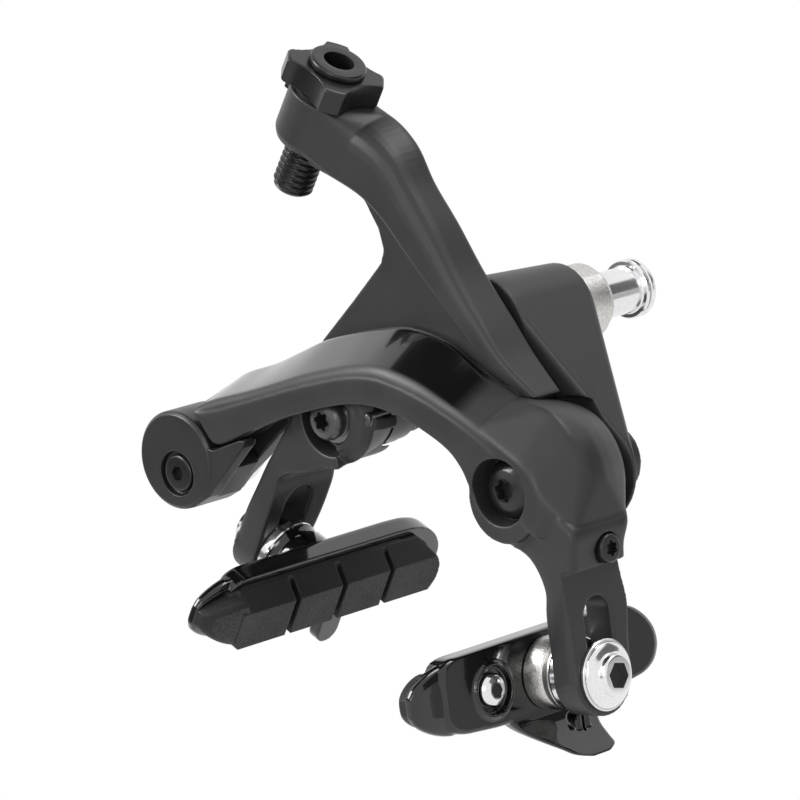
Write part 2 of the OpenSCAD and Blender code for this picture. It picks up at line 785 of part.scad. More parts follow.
module shoe_holder(side) {
  color([0.07, 0.07, 0.075])
    on_leg(side)
      difference() {
        union() {
          side_plate(holder_outline, -stack_x - holder_t, -stack_x);
          loft([[[-stack_x - 1.95, -24.6, -4.4], [-stack_x - 1.95, -24.6, 5.4],
              [-stack_x - 0.5, -24.6, 5.0], [-stack_x - 0.5, -24.6, -4.0]],
            [[-stack_x - 2.1, -31, -1], [-stack_x - 2.1, -31, 2.8], [-stack_x - 1.3, -31, 2.5],
              [-stack_x - 1.3, -31, -0.7]]]);
          loft([for (f = fin_rows) [[f[1], f[3], f[0]], [f[2], f[3], f[0]], [f[2], f[4], f[0]],
            [f[1], f[4], f[0]]]]);
          translate([-stack_x - 3.1, 6, -11.6])
            rotate([0, 90, 0])
              cylinder(h = 2.2, r = 2.5);
          translate([-stack_x - 3.1, 3.5, -11.6])
            cube([2.2, 5, 6]);
          translate([0, 4.2, -9.3])
            bolt_rod(1.9, -stack_x - 0.4, -stack_x + 2.7);
        }
        side_plate(grown(seat_outline, 0.05), -stack_x - holder_t - past, -stack_x - base_t);
        bolt_rod(shoe_bolt_r, -stack_x - past - holder_t, past);
        translate([0, -13.2, 0]) {
          bolt_rod(4, -stack_x - 0.8, past);
          bolt_rod(1.6, -stack_x - past - holder_t, past);
        }
      }
}

module pad(side) {
  base_x = -stack_x - base_t;
  rim_x = -stack_x - holder_t;
  color([0.1, 0.1, 0.1])
    on_leg(side)
      difference() {
        union() {
          side_plate(seat_outline, rim_x - 0.2, base_x);
          intersection() {
            translate([0, 26, 0])
              rotate([90, 0, 0])
                linear_extrude(52)
                  polygon([[rim_x + 0.1, 5.4], [rim_x - 0.6, 5.4], [-pad_face_x, 2.8],
                    [-pad_face_x, -4.5], [rim_x + 0.1, -4.3]]);
            side_plate(body_outline, -pad_face_x - past, rim_x + past);
          }
          loft([[[base_x - 0.3, -23.2, -4.2], [-pad_face_x, -23.2, -4.4],
              [-pad_face_x, -23.2, 1.4], [base_x - 0.3, -23.2, 5.3]],
            [[base_x - 0.5, -30.8, -0.8], [rim_x - 1.0, -30.8, -0.6], [rim_x - 1.0, -30.8, 2.0],
              [base_x - 0.5, -30.8, 2.7]]]);
        }
        for (y = [-10.8, 0.6, 12.2])
          translate([0, y, 0])
            rotate([90, 0, 0])
              linear_extrude(1.2)
                polygon([[-pad_face_x - 1, 8], [rim_x - 0.6, 8], [rim_x - 0.6, -6], [-pad_face_x - 1, -6]]);
        bolt_rod(shoe_bolt_r + 1.4, base_x - 1.6, base_x + past);
        translate([0, -13.2, 0])
          bolt_rod(1.6, base_x - 3, base_x + past);
      }
}

module pad_screw(side) {
  color([0.7, 0.7, 0.72])
    on_leg(side)
      translate([0, -13.2, 0])
        difference() {
          union() {
            bolt_rod(2.9, -stack_x - 0.8, -stack_x + 0.9);
            bolt_rod(1.6, -stack_x - base_t - 1.6, -stack_x);
          }
          bolt_hexagon(1.35, -stack_x - 0.2, -stack_x + 3);
        }
}

washer_out = leg_t / 2 + 0.7;

module shoe_bolt(side) {
  color([0.78, 0.78, 0.8])
    on_leg(side)
      difference() {
        union() {
          bolt_rod(shoe_bolt_r, -stack_x - base_t - 1, washer_out + 1);
          bolt_rod(flange_r - 0.4, washer_out, washer_out + 0.7);
          translate([washer_out + 0.7, 0, 0])
            rotate([0, 90, 0])
              cylinder(h = 1, r1 = flange_r - 0.4, r2 = 4);
          bolt_rod(3.5, washer_out + 1, washer_out + 2.4);
        }
        bolt_hexagon(2.3, washer_out + 0.4, washer_out + 5);
      }
}

module outer_washer(side) {
  color([0.7, 0.7, 0.72])
    on_leg(side)
      difference() {
        bolt_rod(flange_r, leg_t / 2, washer_out);
        bolt_rod(shoe_bolt_r + 0.1, 0, washer_out + past);
      }
}

dome_t = 3.2;

module dome_washer(side) {
  color([0.62, 0.62, 0.64])
    on_leg(side)
      difference() {
        union() {
          bolt_rod(6.1, -leg_t / 2 - 1.4, -leg_t / 2);
          translate([-leg_t / 2 - dome_t, 0, 0])
            rotate([0, 90, 0])
              cylinder(h = dome_t - 1.4, r1 = 4.4, r2 = 6.1);
        }
        bolt_rod(shoe_bolt_r + 0.1, -leg_t / 2 - dome_t - past, past);
      }
}

module cup_washer(side) {
  color([0.78, 0.78, 0.8])
    on_leg(side)
      difference() {
        bolt_rod(6.1, -stack_x, -leg_t / 2 - 1.6);
        translate([-leg_t / 2 - dome_t, 0, 0])
          rotate([0, 90, 0])
            cylinder(h = dome_t, r1 = 4.4, r2 = 4.4 + 1.7 * dome_t / (dome_t - 1.4));
        bolt_rod(shoe_bolt_r + 0.1, -stack_x - past, past);
      }
}

module right_shoe_holder() { shoe_holder(1); }
module right_pad() { pad(1); }
module right_pad_screw() { pad_screw(1); }
module right_shoe_bolt() { shoe_bolt(1); }
module right_outer_washer() { outer_washer(1); }
module right_dome_washer() { dome_washer(1); }
module right_cup_washer() { cup_washer(1); }
module left_shoe_holder() { shoe_holder(-1); }
module left_pad() { pad(-1); }
module left_pad_screw() { pad_screw(-1); }
module left_shoe_bolt() { shoe_bolt(-1); }
module left_outer_washer() { outer_washer(-1); }
module left_dome_washer() { dome_washer(-1); }
module left_cup_washer() { cup_washer(-1); }

bracket();
mounting_bolt();
serrated_washer();
recessed_nut();
right_pivot_bolt();
left_pivot_bolt();
pivot_spacers();
spring_discs();
spring_sleeve();
return_spring();
right_arm();
right_bush();
roller_pin();
link_roller();
centring_screw();
anchor_bolt();
anchor_plate();
release_lever();
lever_screw();
left_arm();
left_bush();
left_flange_ring();
adjuster_clip();
adjuster_nut();
adjuster_bolt();
right_shoe_holder();
right_pad();
right_pad_screw();
right_shoe_bolt();
right_outer_washer();
right_dome_washer();
right_cup_washer();
left_shoe_holder();
left_pad();
left_pad_screw();
left_shoe_bolt();
left_outer_washer();
left_dome_washer();
left_cup_washer();
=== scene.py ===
"""Road bicycle rim brake caliper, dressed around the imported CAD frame.

Forms are made in mm and end in metres. In short names, r is a radius, x runs to the right, y to the
rear and z up.
"""

import json
import math

import bmesh
import bpy
import numpy as np
from mathutils import Matrix, Vector

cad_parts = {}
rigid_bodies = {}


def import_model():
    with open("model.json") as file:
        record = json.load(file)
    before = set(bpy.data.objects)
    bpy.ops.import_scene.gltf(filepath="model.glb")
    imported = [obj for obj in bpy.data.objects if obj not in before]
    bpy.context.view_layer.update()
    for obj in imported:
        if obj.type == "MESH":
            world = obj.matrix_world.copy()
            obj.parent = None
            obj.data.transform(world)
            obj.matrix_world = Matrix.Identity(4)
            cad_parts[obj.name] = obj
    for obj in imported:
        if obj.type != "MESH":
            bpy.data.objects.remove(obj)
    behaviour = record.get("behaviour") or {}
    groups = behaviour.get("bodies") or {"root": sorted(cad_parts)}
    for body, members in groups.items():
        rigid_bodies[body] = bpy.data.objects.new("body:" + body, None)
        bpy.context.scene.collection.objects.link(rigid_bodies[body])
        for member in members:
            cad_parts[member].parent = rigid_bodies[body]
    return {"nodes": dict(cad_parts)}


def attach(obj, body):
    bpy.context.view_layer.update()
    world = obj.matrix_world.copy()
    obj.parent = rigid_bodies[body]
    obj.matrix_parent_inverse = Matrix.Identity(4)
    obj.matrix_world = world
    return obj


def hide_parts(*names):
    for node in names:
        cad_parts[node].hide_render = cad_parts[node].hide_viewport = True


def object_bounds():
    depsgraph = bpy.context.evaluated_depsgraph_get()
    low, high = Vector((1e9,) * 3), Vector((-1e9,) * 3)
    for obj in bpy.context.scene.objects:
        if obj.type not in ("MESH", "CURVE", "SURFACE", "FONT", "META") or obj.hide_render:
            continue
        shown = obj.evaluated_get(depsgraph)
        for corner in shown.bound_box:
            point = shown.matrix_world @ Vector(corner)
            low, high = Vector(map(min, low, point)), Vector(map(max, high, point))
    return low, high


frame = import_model()
cad_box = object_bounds()
MM = 0.001

# Sides of turned parts, and the angle in degrees above which their edges stay sharp
COARSE, ROUND, FINE = 60, 64, 96
SHARP = 28

# Main sizes, as in the CAD source
PIVOT_X = 19.9
PIVOT_Z = -19.07
OPEN_ANGLE = math.radians(16.5)
LEG_T = 5.2
LEG_W = 13.5
LEG_Y = -33.75
SLOT_W = 6.1
SLOT_TRAVEL = 10.0
LEG_X = PIVOT_X + 7.7 * math.cos(OPEN_ANGLE) + 31.6 * math.sin(OPEN_ANGLE)
LEG_Z = PIVOT_Z + 7.7 * math.sin(OPEN_ANGLE) - 31.6 * math.cos(OPEN_ANGLE)
RIGHT_PIVOT = (PIVOT_X, PIVOT_Z)
LEFT_PIVOT = (-PIVOT_X, PIVOT_Z)
BUSH_R = 4.03
DRUM = (-50.6, -35.1)
LEVER_SCREW = (-49.8, -37.2)
SCREW = (1.4, 20.7)
SCREW_SEAT = 4.6
ROLLER = (0.0, -4.9)
STACK_X = 9.9
HOLDER_T = 3.8
PAD_FACE = 17.7


# Placing
def leg_matrix(side):
    """Leg frame of one side: x along the shoe bolt, y to the rear, z up the leg."""
    turn = Matrix.Rotation(-OPEN_ANGLE, 4, "Y")
    place = Matrix.Translation((LEG_X, LEG_Y, LEG_Z)) @ turn
    if side < 0:
        return Matrix.Diagonal((-1, 1, 1, 1)) @ place
    return place


def y_matrix(x, z):
    """Frame whose z runs to the rear along a pivot axis, its x to the right."""
    return Matrix.Translation((x, 0, z)) @ Matrix.Rotation(-math.pi / 2, 4, "X")


def adjuster_matrix():
    """Frame of the cable adjuster, z along its thread."""
    return Matrix.Translation((-38, -34, 15.3)) @ Matrix.Rotation(math.radians(19), 4, "Y")


ON_BOLT = Matrix.Rotation(math.pi / 2, 4, "Y")


# Building
def new_object(name, mesh):
    obj = bpy.data.objects.new(name, mesh)
    bpy.context.scene.collection.objects.link(obj)
    return obj


def from_bmesh(bm, name="part"):
    mesh = bpy.data.meshes.new(name)
    bm.to_mesh(mesh)
    bm.free()
    return new_object(name, mesh)


def from_data(points, faces, matrix=None, name="part"):
    """Closed mesh object from mm points, its faces turned outward."""
    bm = bmesh.new()
    verts = [bm.verts.new(matrix @ Vector(p) if matrix else Vector(p)) for p in points]
    for f in faces:
        bm.faces.new([verts[i] for i in f])
    bmesh.ops.recalc_face_normals(bm, faces=bm.faces)
    return from_bmesh(bm, name)


def side_faces(m, n, closed=False):
    """Faces between m rings of n points, also from the last ring to the first when closed."""
    faces = []
    for i in range(m if closed else m - 1):
        for j in range(n):
            k, j2 = (i + 1) % m, (j + 1) % n
            faces.append((i * n + j, i * n + j2, k * n + j2, k * n + j))
    return faces


def loft(rings, matrix=None, closed=False, name="part"):
    """Rings of equal length joined into a tube, capped unless closed end to end."""
    m, n = len(rings), len(rings[0])
    faces = side_faces(m, n, closed)
    if not closed:
        faces.append(tuple(range(n)))
        faces.append(tuple((m - 1) * n + j for j in range(n)))
    return from_data([p for r in rings for p in r], faces, matrix, name)


def circle(r, steps, spin=0.0):
    angles = [2 * math.pi * k / steps + spin for k in range(steps)]
    return [(r * math.cos(a), r * math.sin(a)) for a in angles]


def lathe(profile, matrix=None, steps=72, name="part"):
    """Closed solid of revolution about z from (radius, height) points, first and last on the axis
    or the profile closed on itself when it starts off the axis."""
    on_axis = profile[0][0] < 1e-6 and profile[-1][0] < 1e-6
    body = profile[1:-1] if on_axis else profile
    rings = [[(x, y, h) for x, y in circle(r, steps)] for r, h in body]
    if not on_axis:
        return loft(rings, matrix, True, name)
    points = [p for ring in rings for p in ring]
    points += [(0, 0, profile[0][1]), (0, 0, profile[-1][1])]
    first, last = len(points) - 2, len(points) - 1
    m = len(rings)
    faces = side_faces(m, steps)
    for j in range(steps):
        j2 = (j + 1) % steps
        faces.append((first, j2, j))
        faces.append((last, (m - 1) * steps + j, (m - 1) * steps + j2))
    return from_data(points, faces, matrix, name)


def prism(outline, low, high, matrix):
    """Outline in x and y pushed along z of the matrix."""
    return loft([[(x, y, z) for x, y in outline] for z in (low, high)], matrix)


# Outlines given in x and z of the object, pushed along its y
FLAT = Matrix(((1, 0, 0, 0), (0, 0, 1, 0), (0, 1, 0, 0), (0, 0, 0, 1)))
# Outlines given in y and z of the leg frame, pushed along its x
SIDE = Matrix(((0, 0, 1, 0), (1, 0, 0, 0), (0, 1, 0, 0), (0, 0, 0, 1)))


def cone(centre, r0, r1, y0, y1):
    """Cone along a pivot axis."""
    return lathe([(0, y0), (r0, y0), (r1, y1), (0, y1)], y_matrix(*centre), ROUND)


def rod(centre, r, y0, y1):
    return cone(centre, r, r, y0, y1)


def cone_on_bolt(r0, r1, x0, x1, side, centre):
    """Cone along the shoe bolt axis, its centre as y and z of the leg frame."""
    place = leg_matrix(side) @ Matrix.Translation((0, *centre)) @ ON_BOLT
    return lathe([(0, x0), (r0, x0), (r1, x1), (0, x1)], place, ROUND)


def bolt_rod(r, x0, x1, side, centre=(0, 0)):
    return cone_on_bolt(r, r, x0, x1, side, centre)


def box(low, high, matrix):
    x0, y0, z0 = low
    x1, y1, z1 = high
    rings = [[(x0, y0, z), (x1, y0, z), (x1, y1, z), (x0, y1, z)] for z in (z0, z1)]
    return loft(rings, matrix)


def applied(obj):
    """Applies the object's modifiers to its mesh."""
    graph = bpy.context.evaluated_depsgraph_get()
    mesh = bpy.data.meshes.new_from_object(obj.evaluated_get(graph))
    old = obj.data
    obj.modifiers.clear()
    obj.data = mesh
    bpy.data.meshes.remove(old)
    return obj


def removed(obj):
    mesh = obj.data
    bpy.data.objects.remove(obj)
    bpy.data.meshes.remove(mesh)


def extent(obj):
    points = np.array([v.co for v in obj.data.vertices])
    return points.min(axis=0), points.max(axis=0)


def modified(obj, kind, **settings):
    """The object with one more modifier, which is still to be applied."""
    mod = obj.modifiers.new(kind.lower(), kind)
    for name, value in settings.items():
        setattr(mod, name, value)
    return obj


def boolean(obj, others, operation="DIFFERENCE"):
    low, high = extent(obj)
    for other in others:
        other_low, other_high = extent(other)
        if (other_low > high).any() or (other_high < low).any():
            continue
        modified(obj, "BOOLEAN", operation=operation, solver="EXACT", object=other)
    return applied(obj)


def carved(obj, others, operation="DIFFERENCE"):
    """Boolean with parts that are used up by it."""
    boolean(obj, others, operation)
    for other in others:
        removed(other)
    return obj


def joined(name, parts):
    """One mesh holding all the parts as separate shells."""
    bm = bmesh.new()
    for part in parts:
        bm.from_mesh(part.data)
        removed(part)
    return from_bmesh(bm, name)


def evened(obj, rounds, group=""):
    """Smoothed over the whole mesh or one vertex group of it."""
    return modified(obj, "SMOOTH", factor=0.5, iterations=rounds, vertex_group=group)


def remeshed(obj, voxel):
    return modified(obj, "REMESH", mode="VOXEL", voxel_size=voxel)


def sculpted(name, adders, cutters=(), voxel=0.25, smooth=6, keep=1.0):
    """Adders less their cutters, fused, softened at the seams and thinned to a share of faces."""
    for part in adders:
        boolean(part, cutters)
    obj = joined(name, adders)
    for cutter in cutters:
        removed(cutter)
    applied(evened(remeshed(obj, voxel), smooth))
    return finished(applied(modified(obj, "DECIMATE", ratio=keep)))


def finished(obj, angle=None):
    """From mm to metres, with smooth shading, or smooth below an angle."""
    obj.data.transform(Matrix.Scale(MM, 4))
    for poly in obj.data.polygons:
        poly.use_smooth = True
    if angle is not None:
        obj.data.set_sharp_from_angle(angle=math.radians(angle))
    return obj


def spline(rows, steps):
    """Catmull-Rom curve through rows of numbers."""
    rows = [np.array(r, float) for r in rows]
    out = []
    for i in range(len(rows) - 1):
        p0 = rows[max(i - 1, 0)]
        p1, p2 = rows[i], rows[i + 1]
        p3 = rows[min(i + 2, len(rows) - 1)]
        for k in range(steps):
            t = k / steps
            out.append(0.5 * (2 * p1 + (p2 - p0) * t + (2 * p0 - 5 * p1 + 4 * p2 - p3) * t ** 2
                              + (3 * p1 - p0 - 3 * p2 + p3) * t ** 3))
    out.append(rows[-1])
    return out


def arc_corner(p, a, b, r, n=5):
    """Points of a round corner at p between neighbours a and b, radius about r."""
    p, a, b = (np.array(v, float) for v in (p, a, b))
    u = (a - p) / np.linalg.norm(a - p)
    w = (b - p) / np.linalg.norm(b - p)
    start, end = p + u * r, p + w * r
    out = []
    for k in range(n):
        t = k / (n - 1)
        out.append((1 - t) ** 2 * start + 2 * t * (1 - t) * p + t ** 2 * end)
    return out


def section(row, crown=0.0, ridge=None):
    """Section of an arm between the lower and the upper point of its front face, its ridge softer
    where a reach is given. A row is lower x, lower z, upper x, upper z, front y, rear y, rear top
    rise, rear foot rise, softness."""
    a, b = np.array(row[0:2]), np.array(row[2:4])
    size = np.linalg.norm(b - a)
    u = (b - a) / size
    q = [(0, row[4]), (size, row[4]), (size + row[6], row[5]), (row[7], row[5])]
    pts = []
    for i in range(4):
        r = row[8] * (0.7 if i == 0 else 1.2)
        if i == 1 and ridge:
            r = min(ridge, 0.45 * size)
        corner = arc_corner(q[i], q[i - 1], q[(i + 1) % 4], r)
        pts += [tuple(c) for c in corner]
        if i == 0 and crown:
            start, end = corner[-1], np.array(q[1])
            for k in (0.25, 0.5, 0.75):
                mid = start + (end - start) * k
                pts.append((mid[0], mid[1] - crown * 4 * k * (1 - k)))
    return [(a[0] + u[0] * s, y, a[1] + u[1] * s) for s, y in pts]


def leg_point(n, t):
    return (LEG_X + n * math.cos(OPEN_ANGLE) - t * math.sin(OPEN_ANGLE),
            LEG_Z + n * math.sin(OPEN_ANGLE) + t * math.cos(OPEN_ANGLE))


def leg_row(t, inner, outer, y0, y1, s):
    return [*leg_point(inner, t), *leg_point(outer, t), y0, y1, 0, 0, s]


# Right arm
right_rows = [
    [-45.9, -26.9, -48.2, -25.2, -43.4, -32.6, 1.8, 0.3, 0.7],
    [-42.2, -30.0, -44.4, -23.0, -43.2, -32.6, 3.7, 0.5, 1.1],
    [-35.0, -25.7, -37.2, -19.4, -43, -33.0, 4.1, 2.0, 1.2],
    [-29.0, -21.9, -31.3, -16.4, -43, -33.6, 4.9, 5.0, 1.2],
    [-23.4, -18.9, -25.4, -13.3, -43, -34, 5.8, 7.0, 1.2],
    [-18.2, -16.3, -19.8, -10.6, -43, -34, 6.1, 7.5, 1.2],
    [-13.0, -14.2, -14.2, -8.2, -43, -34, 6.2, 7.0, 1.2],
    [-7.4, -13.0, -8.1, -6.6, -43, -34, 6.6, 6.0, 1.2],
    [-0.8, -13.1, -0.4, -6.7, -43, -34, 6.6, 5.0, 1.2],
    [4.6, -14.2, 6.4, -7.8, -42.8, -33.8, 5.3, 4.0, 1.2],
    [8.6, -15.6, 13.6, -9.6, -42.6, -33.6, 5.4, 2.5, 1.2],
    [11.4, -17.8, 20.2, -12.2, -42.4, -33.4, 5.6, 1, 1.3],
    [13.7, -20.6, 26.2, -15.6, -42.4, -31, 3, 0, 1.4],
    [15.8, -24.6, 30.6, -19.2, -41.2, -24.5, 0.4, 0, 1.6],
    [20.2, -27.2, 34.7, -22.0, -40.9, -26.2, 0.2, 0, 1.4]]
HALF_T, FRONT, REAR = LEG_T / 2, LEG_Y - LEG_W / 2, LEG_Y + LEG_W / 2
right_leg_rows = [
    leg_row(20.5, -4.4, 5.2, -40.9, -27.2, 1.4),
    leg_row(15.5, -2.0, 4.3, -40.8, -26.8, 1.2),
    leg_row(11, -HALF_T, 3.5, FRONT, REAR + 0.9, 0.9),
    leg_row(6, -HALF_T, HALF_T + 0.1, FRONT, REAR + 0.5, 0.7),
    leg_row(-0.6, -HALF_T, HALF_T, FRONT + 0.1, REAR - 0.1, 0.5)]
ear_outline = [(-34.0, -20.6), (-34.0, -25.7), (-36.5, -28.4), (-40.7, -34.0), (-44.4, -38.4),
               (-46.5, -41.6), (-52, -42.4), (-56.4, -40.2), (-57.6, -34.6), (-54.6, -29.2),
               (-49.6, -25.4), (-44.0, -21.4), (-38.0, -17.6)]


# The right hub falls back towards the shoulder and the leg: the boss on its front is shifted off
# the pivot, discs from front to rear follow (y, radius, share of that shift), one has a lip below
BOSS_SHIFT = (0.7, -1.2)
hub_discs = [(-42.3, 8.0, 1.0), (-35.2, 12.9, 0.15), (-33.6, 13.4, 0.05), (-31, 13.4, 0),
             (-28, 12.7, 0), (-24, 11.4, 0)]
LIP_Y, LIP = -35.2, 1.3
hub_reach = [(13.6, -42.4, -9.8), (16.8, -34.6, -5.2), (34.2, -39.2, -22.0), (34.8, -39.0, -25.6),
             (34.4, -27.0, -22.2), (34.9, -27.6, -26)]


def shifted(share):
    """Centre of a disc of the right hub."""
    return (PIVOT_X + BOSS_SHIFT[0] * share, PIVOT_Z + BOSS_SHIFT[1] * share)


def right_hub():
    bm = bmesh.new()
    for y, r, share in hub_discs:
        x, z = shifted(share)
        bm.verts.new((x, y, z))
        for degrees in range(-30, 135, 3):
            a = math.radians(degrees)
            lift = LIP * min(max((degrees - 45) / 30, 0), 1) if y == LIP_Y else 0
            bm.verts.new((x + (r + lift) * math.cos(a), y, z + (r + lift) * math.sin(a)))
    for p in hub_reach:
        bm.verts.new(p)
    return applied(evened(remeshed(convex(bm), 0.45), 10))


def leg_cutters(side):
    place = leg_matrix(side)
    half = circle(SLOT_W / 2, 48)[:25]
    slot = [(y, SLOT_TRAVEL + z) for y, z in half] + [(-y, -z) for y, z in half]
    return [
        prism(slot, -20, 20, place @ SIDE),
        box((HALF_T + 0.02, -10, -9), (HALF_T + 6, 10, SLOT_TRAVEL + 8.2), place)]


def build_right_arm():
    rings = [section(r, 0.25) for r in spline(right_rows + right_leg_rows, 6)]
    adders = [
        loft(rings),
        bolt_rod(LEG_W / 2, -HALF_T, HALF_T, 1),
        rod(shifted(1), 7.2, -42.1, -34),
        lathe([(0, -34.4), (12.2, -34.4), (11.4, -24), (9.4, -22), (0, -22)],
              y_matrix(*RIGHT_PIVOT)),
        right_hub(),
        prism(ear_outline, -34.2, -30.6, FLAT)]
    cutters = leg_cutters(1) + [
        rod(RIGHT_PIVOT, 5.6, -44, -38.2),
        rod(RIGHT_PIVOT, BUSH_R, -44, -20),
        bolt_rod(2.65, SCREW_SEAT, SCREW_SEAT + 8, 1, SCREW),
        bolt_rod(1.1, 1.6, SCREW_SEAT + 1, 1, SCREW),
        rod(ROLLER, 1.2, -38, -30),
        rod(DRUM, 3.0, -46, -29)]
    return sculpted("right_arm_form", adders, cutters, voxel=0.22, smooth=8, keep=0.8)


# Left arm
BAR_RIDGE = 3.4
bar_rows = [
    [-32.4, 21.2, -30.2, 29.6, -37, -29, 2.2, 0, 1.2],
    [-26.5, 20.1, -23.4, 29.4, -36.6, -27.8, 2.2, 0, 1.3],
    [-21.0, 18.6, -17.0, 27.0, -36.2, -27.4, 1.2, 0, 1.3],
    [-16.0, 16.0, -11.7, 22.4, -36, -27.4, 0, 0, 1.2],
    [-10.4, 11.8, -6.0, 17.0, -36, -27.2, 0, 0, 1.2],
    [-3.3, 6.8, 0.4, 10.4, -36, -27.2, 0, 0, 1.0],
    [4.8, 1.6, 7.4, 4.2, -36, -27.2, 0, 0, 0.7],
    [10.4, -2.2, 12.2, -0.2, -35.6, -27.2, 0, 0, 0.5],
    [15.4, -5.9, 18.6, -5.2, -33.4, -27.2, 0, 0, 0.2]]
left_leg_rows = [
    leg_row(30, -13.6, 0.2, -40, -28.6, 0.9),
    leg_row(26, -12.6, 0.4, -40, -28, 0.9),
    leg_row(20.5, -7.4, 1.0, -40.4, -27, 0.9),
    leg_row(16.5, -HALF_T, 1.6, FRONT, -26, 0.9),
    leg_row(12, -HALF_T, HALF_T - 0.6, FRONT, -25.8, 0.8),
    leg_row(6, -HALF_T, HALF_T, FRONT, -26, 0.8),
    leg_row(-0.6, -HALF_T, HALF_T, FRONT + 0.1, REAR - 0.1, 0.8)]


# Depth of the roller's track under its axis, and how far the track goes on past the rest place
TRACK_R, TRACK_END = 2.45, 2.9


def turned(p, angle):
    """Point turned clockwise round the origin."""
    c, s = math.cos(angle), math.sin(angle)
    return (p[0] * c + p[1] * s, -p[0] * s + p[1] * c)


def roller_in_left_arm(b):
    """Axis of the roller seen from the left arm when both arms have turned b degrees."""
    b = math.radians(b)
    p = turned((ROLLER[0] - PIVOT_X, ROLLER[1] - PIVOT_Z), b)
    p = (p[0] + 2 * PIVOT_X, p[1])
    q = turned(p, b)
    return (q[0] - PIVOT_X, q[1] + PIVOT_Z)


def roller_step(b):
    """Direction in which that axis moves."""
    p, q = roller_in_left_arm(b + 0.5), roller_in_left_arm(b - 0.5)
    d = (p[0] - q[0], p[1] - q[1])
    size = math.hypot(*d)
    return (d[0] / size, d[1] / size)


def cam_point(b):
    p, d = roller_in_left_arm(b), roller_step(b)
    return (p[0] - TRACK_R * d[1], p[1] + TRACK_R * d[0])


def web_outline():
    cam = [cam_point(b) for b in range(14, -1, -2)]
    end, step = cam_point(0), roller_step(0)
    return ([(-30.2, -20), (-30.2, -13), (-29.0, -9.2), (-23.1, -0.7), (-20.1, 3.8), (-17.6, 7.6),
             (-17.2, 10.0), (-18.7, 13.2), (-22, 16.8), (-26.5, 20.6), (-22, 24), (-10, 16),
             (0, 9.2), (8, 3.0), (15.6, -3.4), (16.2, -5.6)] + cam
            + [(end[0] - TRACK_END * step[0], end[1] - TRACK_END * step[1]), (-4.8, -7.2),
               (-6.6, -10.4), (-9.4, -14.4), (-14, -19), (-19.9, -21)])


def blend_of_boss():
    """Convex form from the adjuster's boss to the start of the bar."""
    bm = bmesh.new()
    place = adjuster_matrix()
    for h, r in ((9.6, 5.4), (11, 6.2), (18.9, 6.2)):
        for x, y in circle(r, 48):
            bm.verts.new(place @ Vector((x, y, h)))
    for p in section(bar_rows[1], 0.0, BAR_RIDGE):
        bm.verts.new(p)
    return convex(bm)


def sector(low, high):
    """Outline of a slice round the left pivot, wider than the hub, between two angles."""
    (lx, lz), r = LEFT_PIVOT, 20
    steps = [math.radians(low + (high - low) * k / 12) for k in range(13)]
    return [(lx, lz)] + [(lx + r * math.cos(a), lz + r * math.sin(a)) for a in steps]


def slice_of_hub(profile, low, high):
    """Turned cutter round the left pivot, kept between two angles."""
    part = lathe(profile, y_matrix(*LEFT_PIVOT), FINE)
    return carved(part, [prism(sector(low, high), -50, -30, FLAT)], "INTERSECT")


def hub_slope():
    """What is cut away so that the left hub falls back towards the middle."""
    return slice_of_hub([(5.5, -43), (5.5, -39.9), (6.8, -39.3), (8.4, -37.6), (9.6, -35),
                         (10.2, -33.4), (16, -33.4), (16, -43)], -68, 75)


def hub_groove():
    """Dark groove between the left hub and the top of its leg."""
    return slice_of_hub([(4.15, -43), (4.15, -36.2), (6.3, -36.2), (6.3, -43)], -66, -200)


def build_left_arm():
    lx, lz = LEFT_PIVOT
    flip = Matrix.Diagonal((-1, 1, 1, 1))
    adjuster = adjuster_matrix()
    adders = [
        loft([section(r, 0.0, BAR_RIDGE) for r in spline(bar_rows, 6)]),
        blend_of_boss(),
        prism(web_outline(), -33.3, -27.6, FLAT),
        loft([section(r, 0.1) for r in spline(left_leg_rows, 6)], flip),
        bolt_rod(LEG_W / 2, -HALF_T, HALF_T, -1),
        cone(LEFT_PIVOT, 8.6, 6.3, -40.2, -31),
        rod((lx + 7.8, lz + 3.2), 3.3, -40.2, -34),
        lathe([(0, 9), (4.6, 9), (5.7, 9.5), (6.3, 10.8), (6.3, 19), (0, 19)], adjuster, FINE)]
    clear = [(-36, -24), (-24, -17.7), (-14, -12.8), (-8, -11), (-4, -9), (-4, 0), (-36, 0)]
    cutters = leg_cutters(-1) + [
        prism(clear, -45, -33.3, FLAT),
        hub_slope(), hub_groove(),
        rod(LEFT_PIVOT, 4.5, -42, -38.4),
        rod(LEFT_PIVOT, BUSH_R, -42, -29),
        rod(LEFT_PIVOT, 6.8, -31, -20),
        rod((lx + 8.6, lz + 3.2), 1.0, -42, -26),
        lathe([(0, 0), (3.6, 0), (3.6, 40), (0, 40)], adjuster)]
    return sculpted("left_arm_form", adders, cutters, voxel=0.22, smooth=8, keep=0.4)


# Bracket
def hull_of(discs):
    """Convex form round discs given as centre, radius, front and rear."""
    bm = bmesh.new()
    for (x, z), r, y0, y1 in discs:
        for dx, dz in circle(r, ROUND):
            bm.verts.new((x + dx, y0, z + dz))
            bm.verts.new((x + dx, y1, z + dz))
    return convex(bm)


def convex(bm):
    out = bmesh.ops.convex_hull(bm, input=bm.verts)
    inside = out["geom_interior"] + out["geom_unused"]
    loose = {v for v in inside if isinstance(v, bmesh.types.BMVert)}
    bmesh.ops.delete(bm, geom=list(loose), context="VERTS")
    bmesh.ops.recalc_face_normals(bm, faces=bm.faces)
    return from_bmesh(bm)


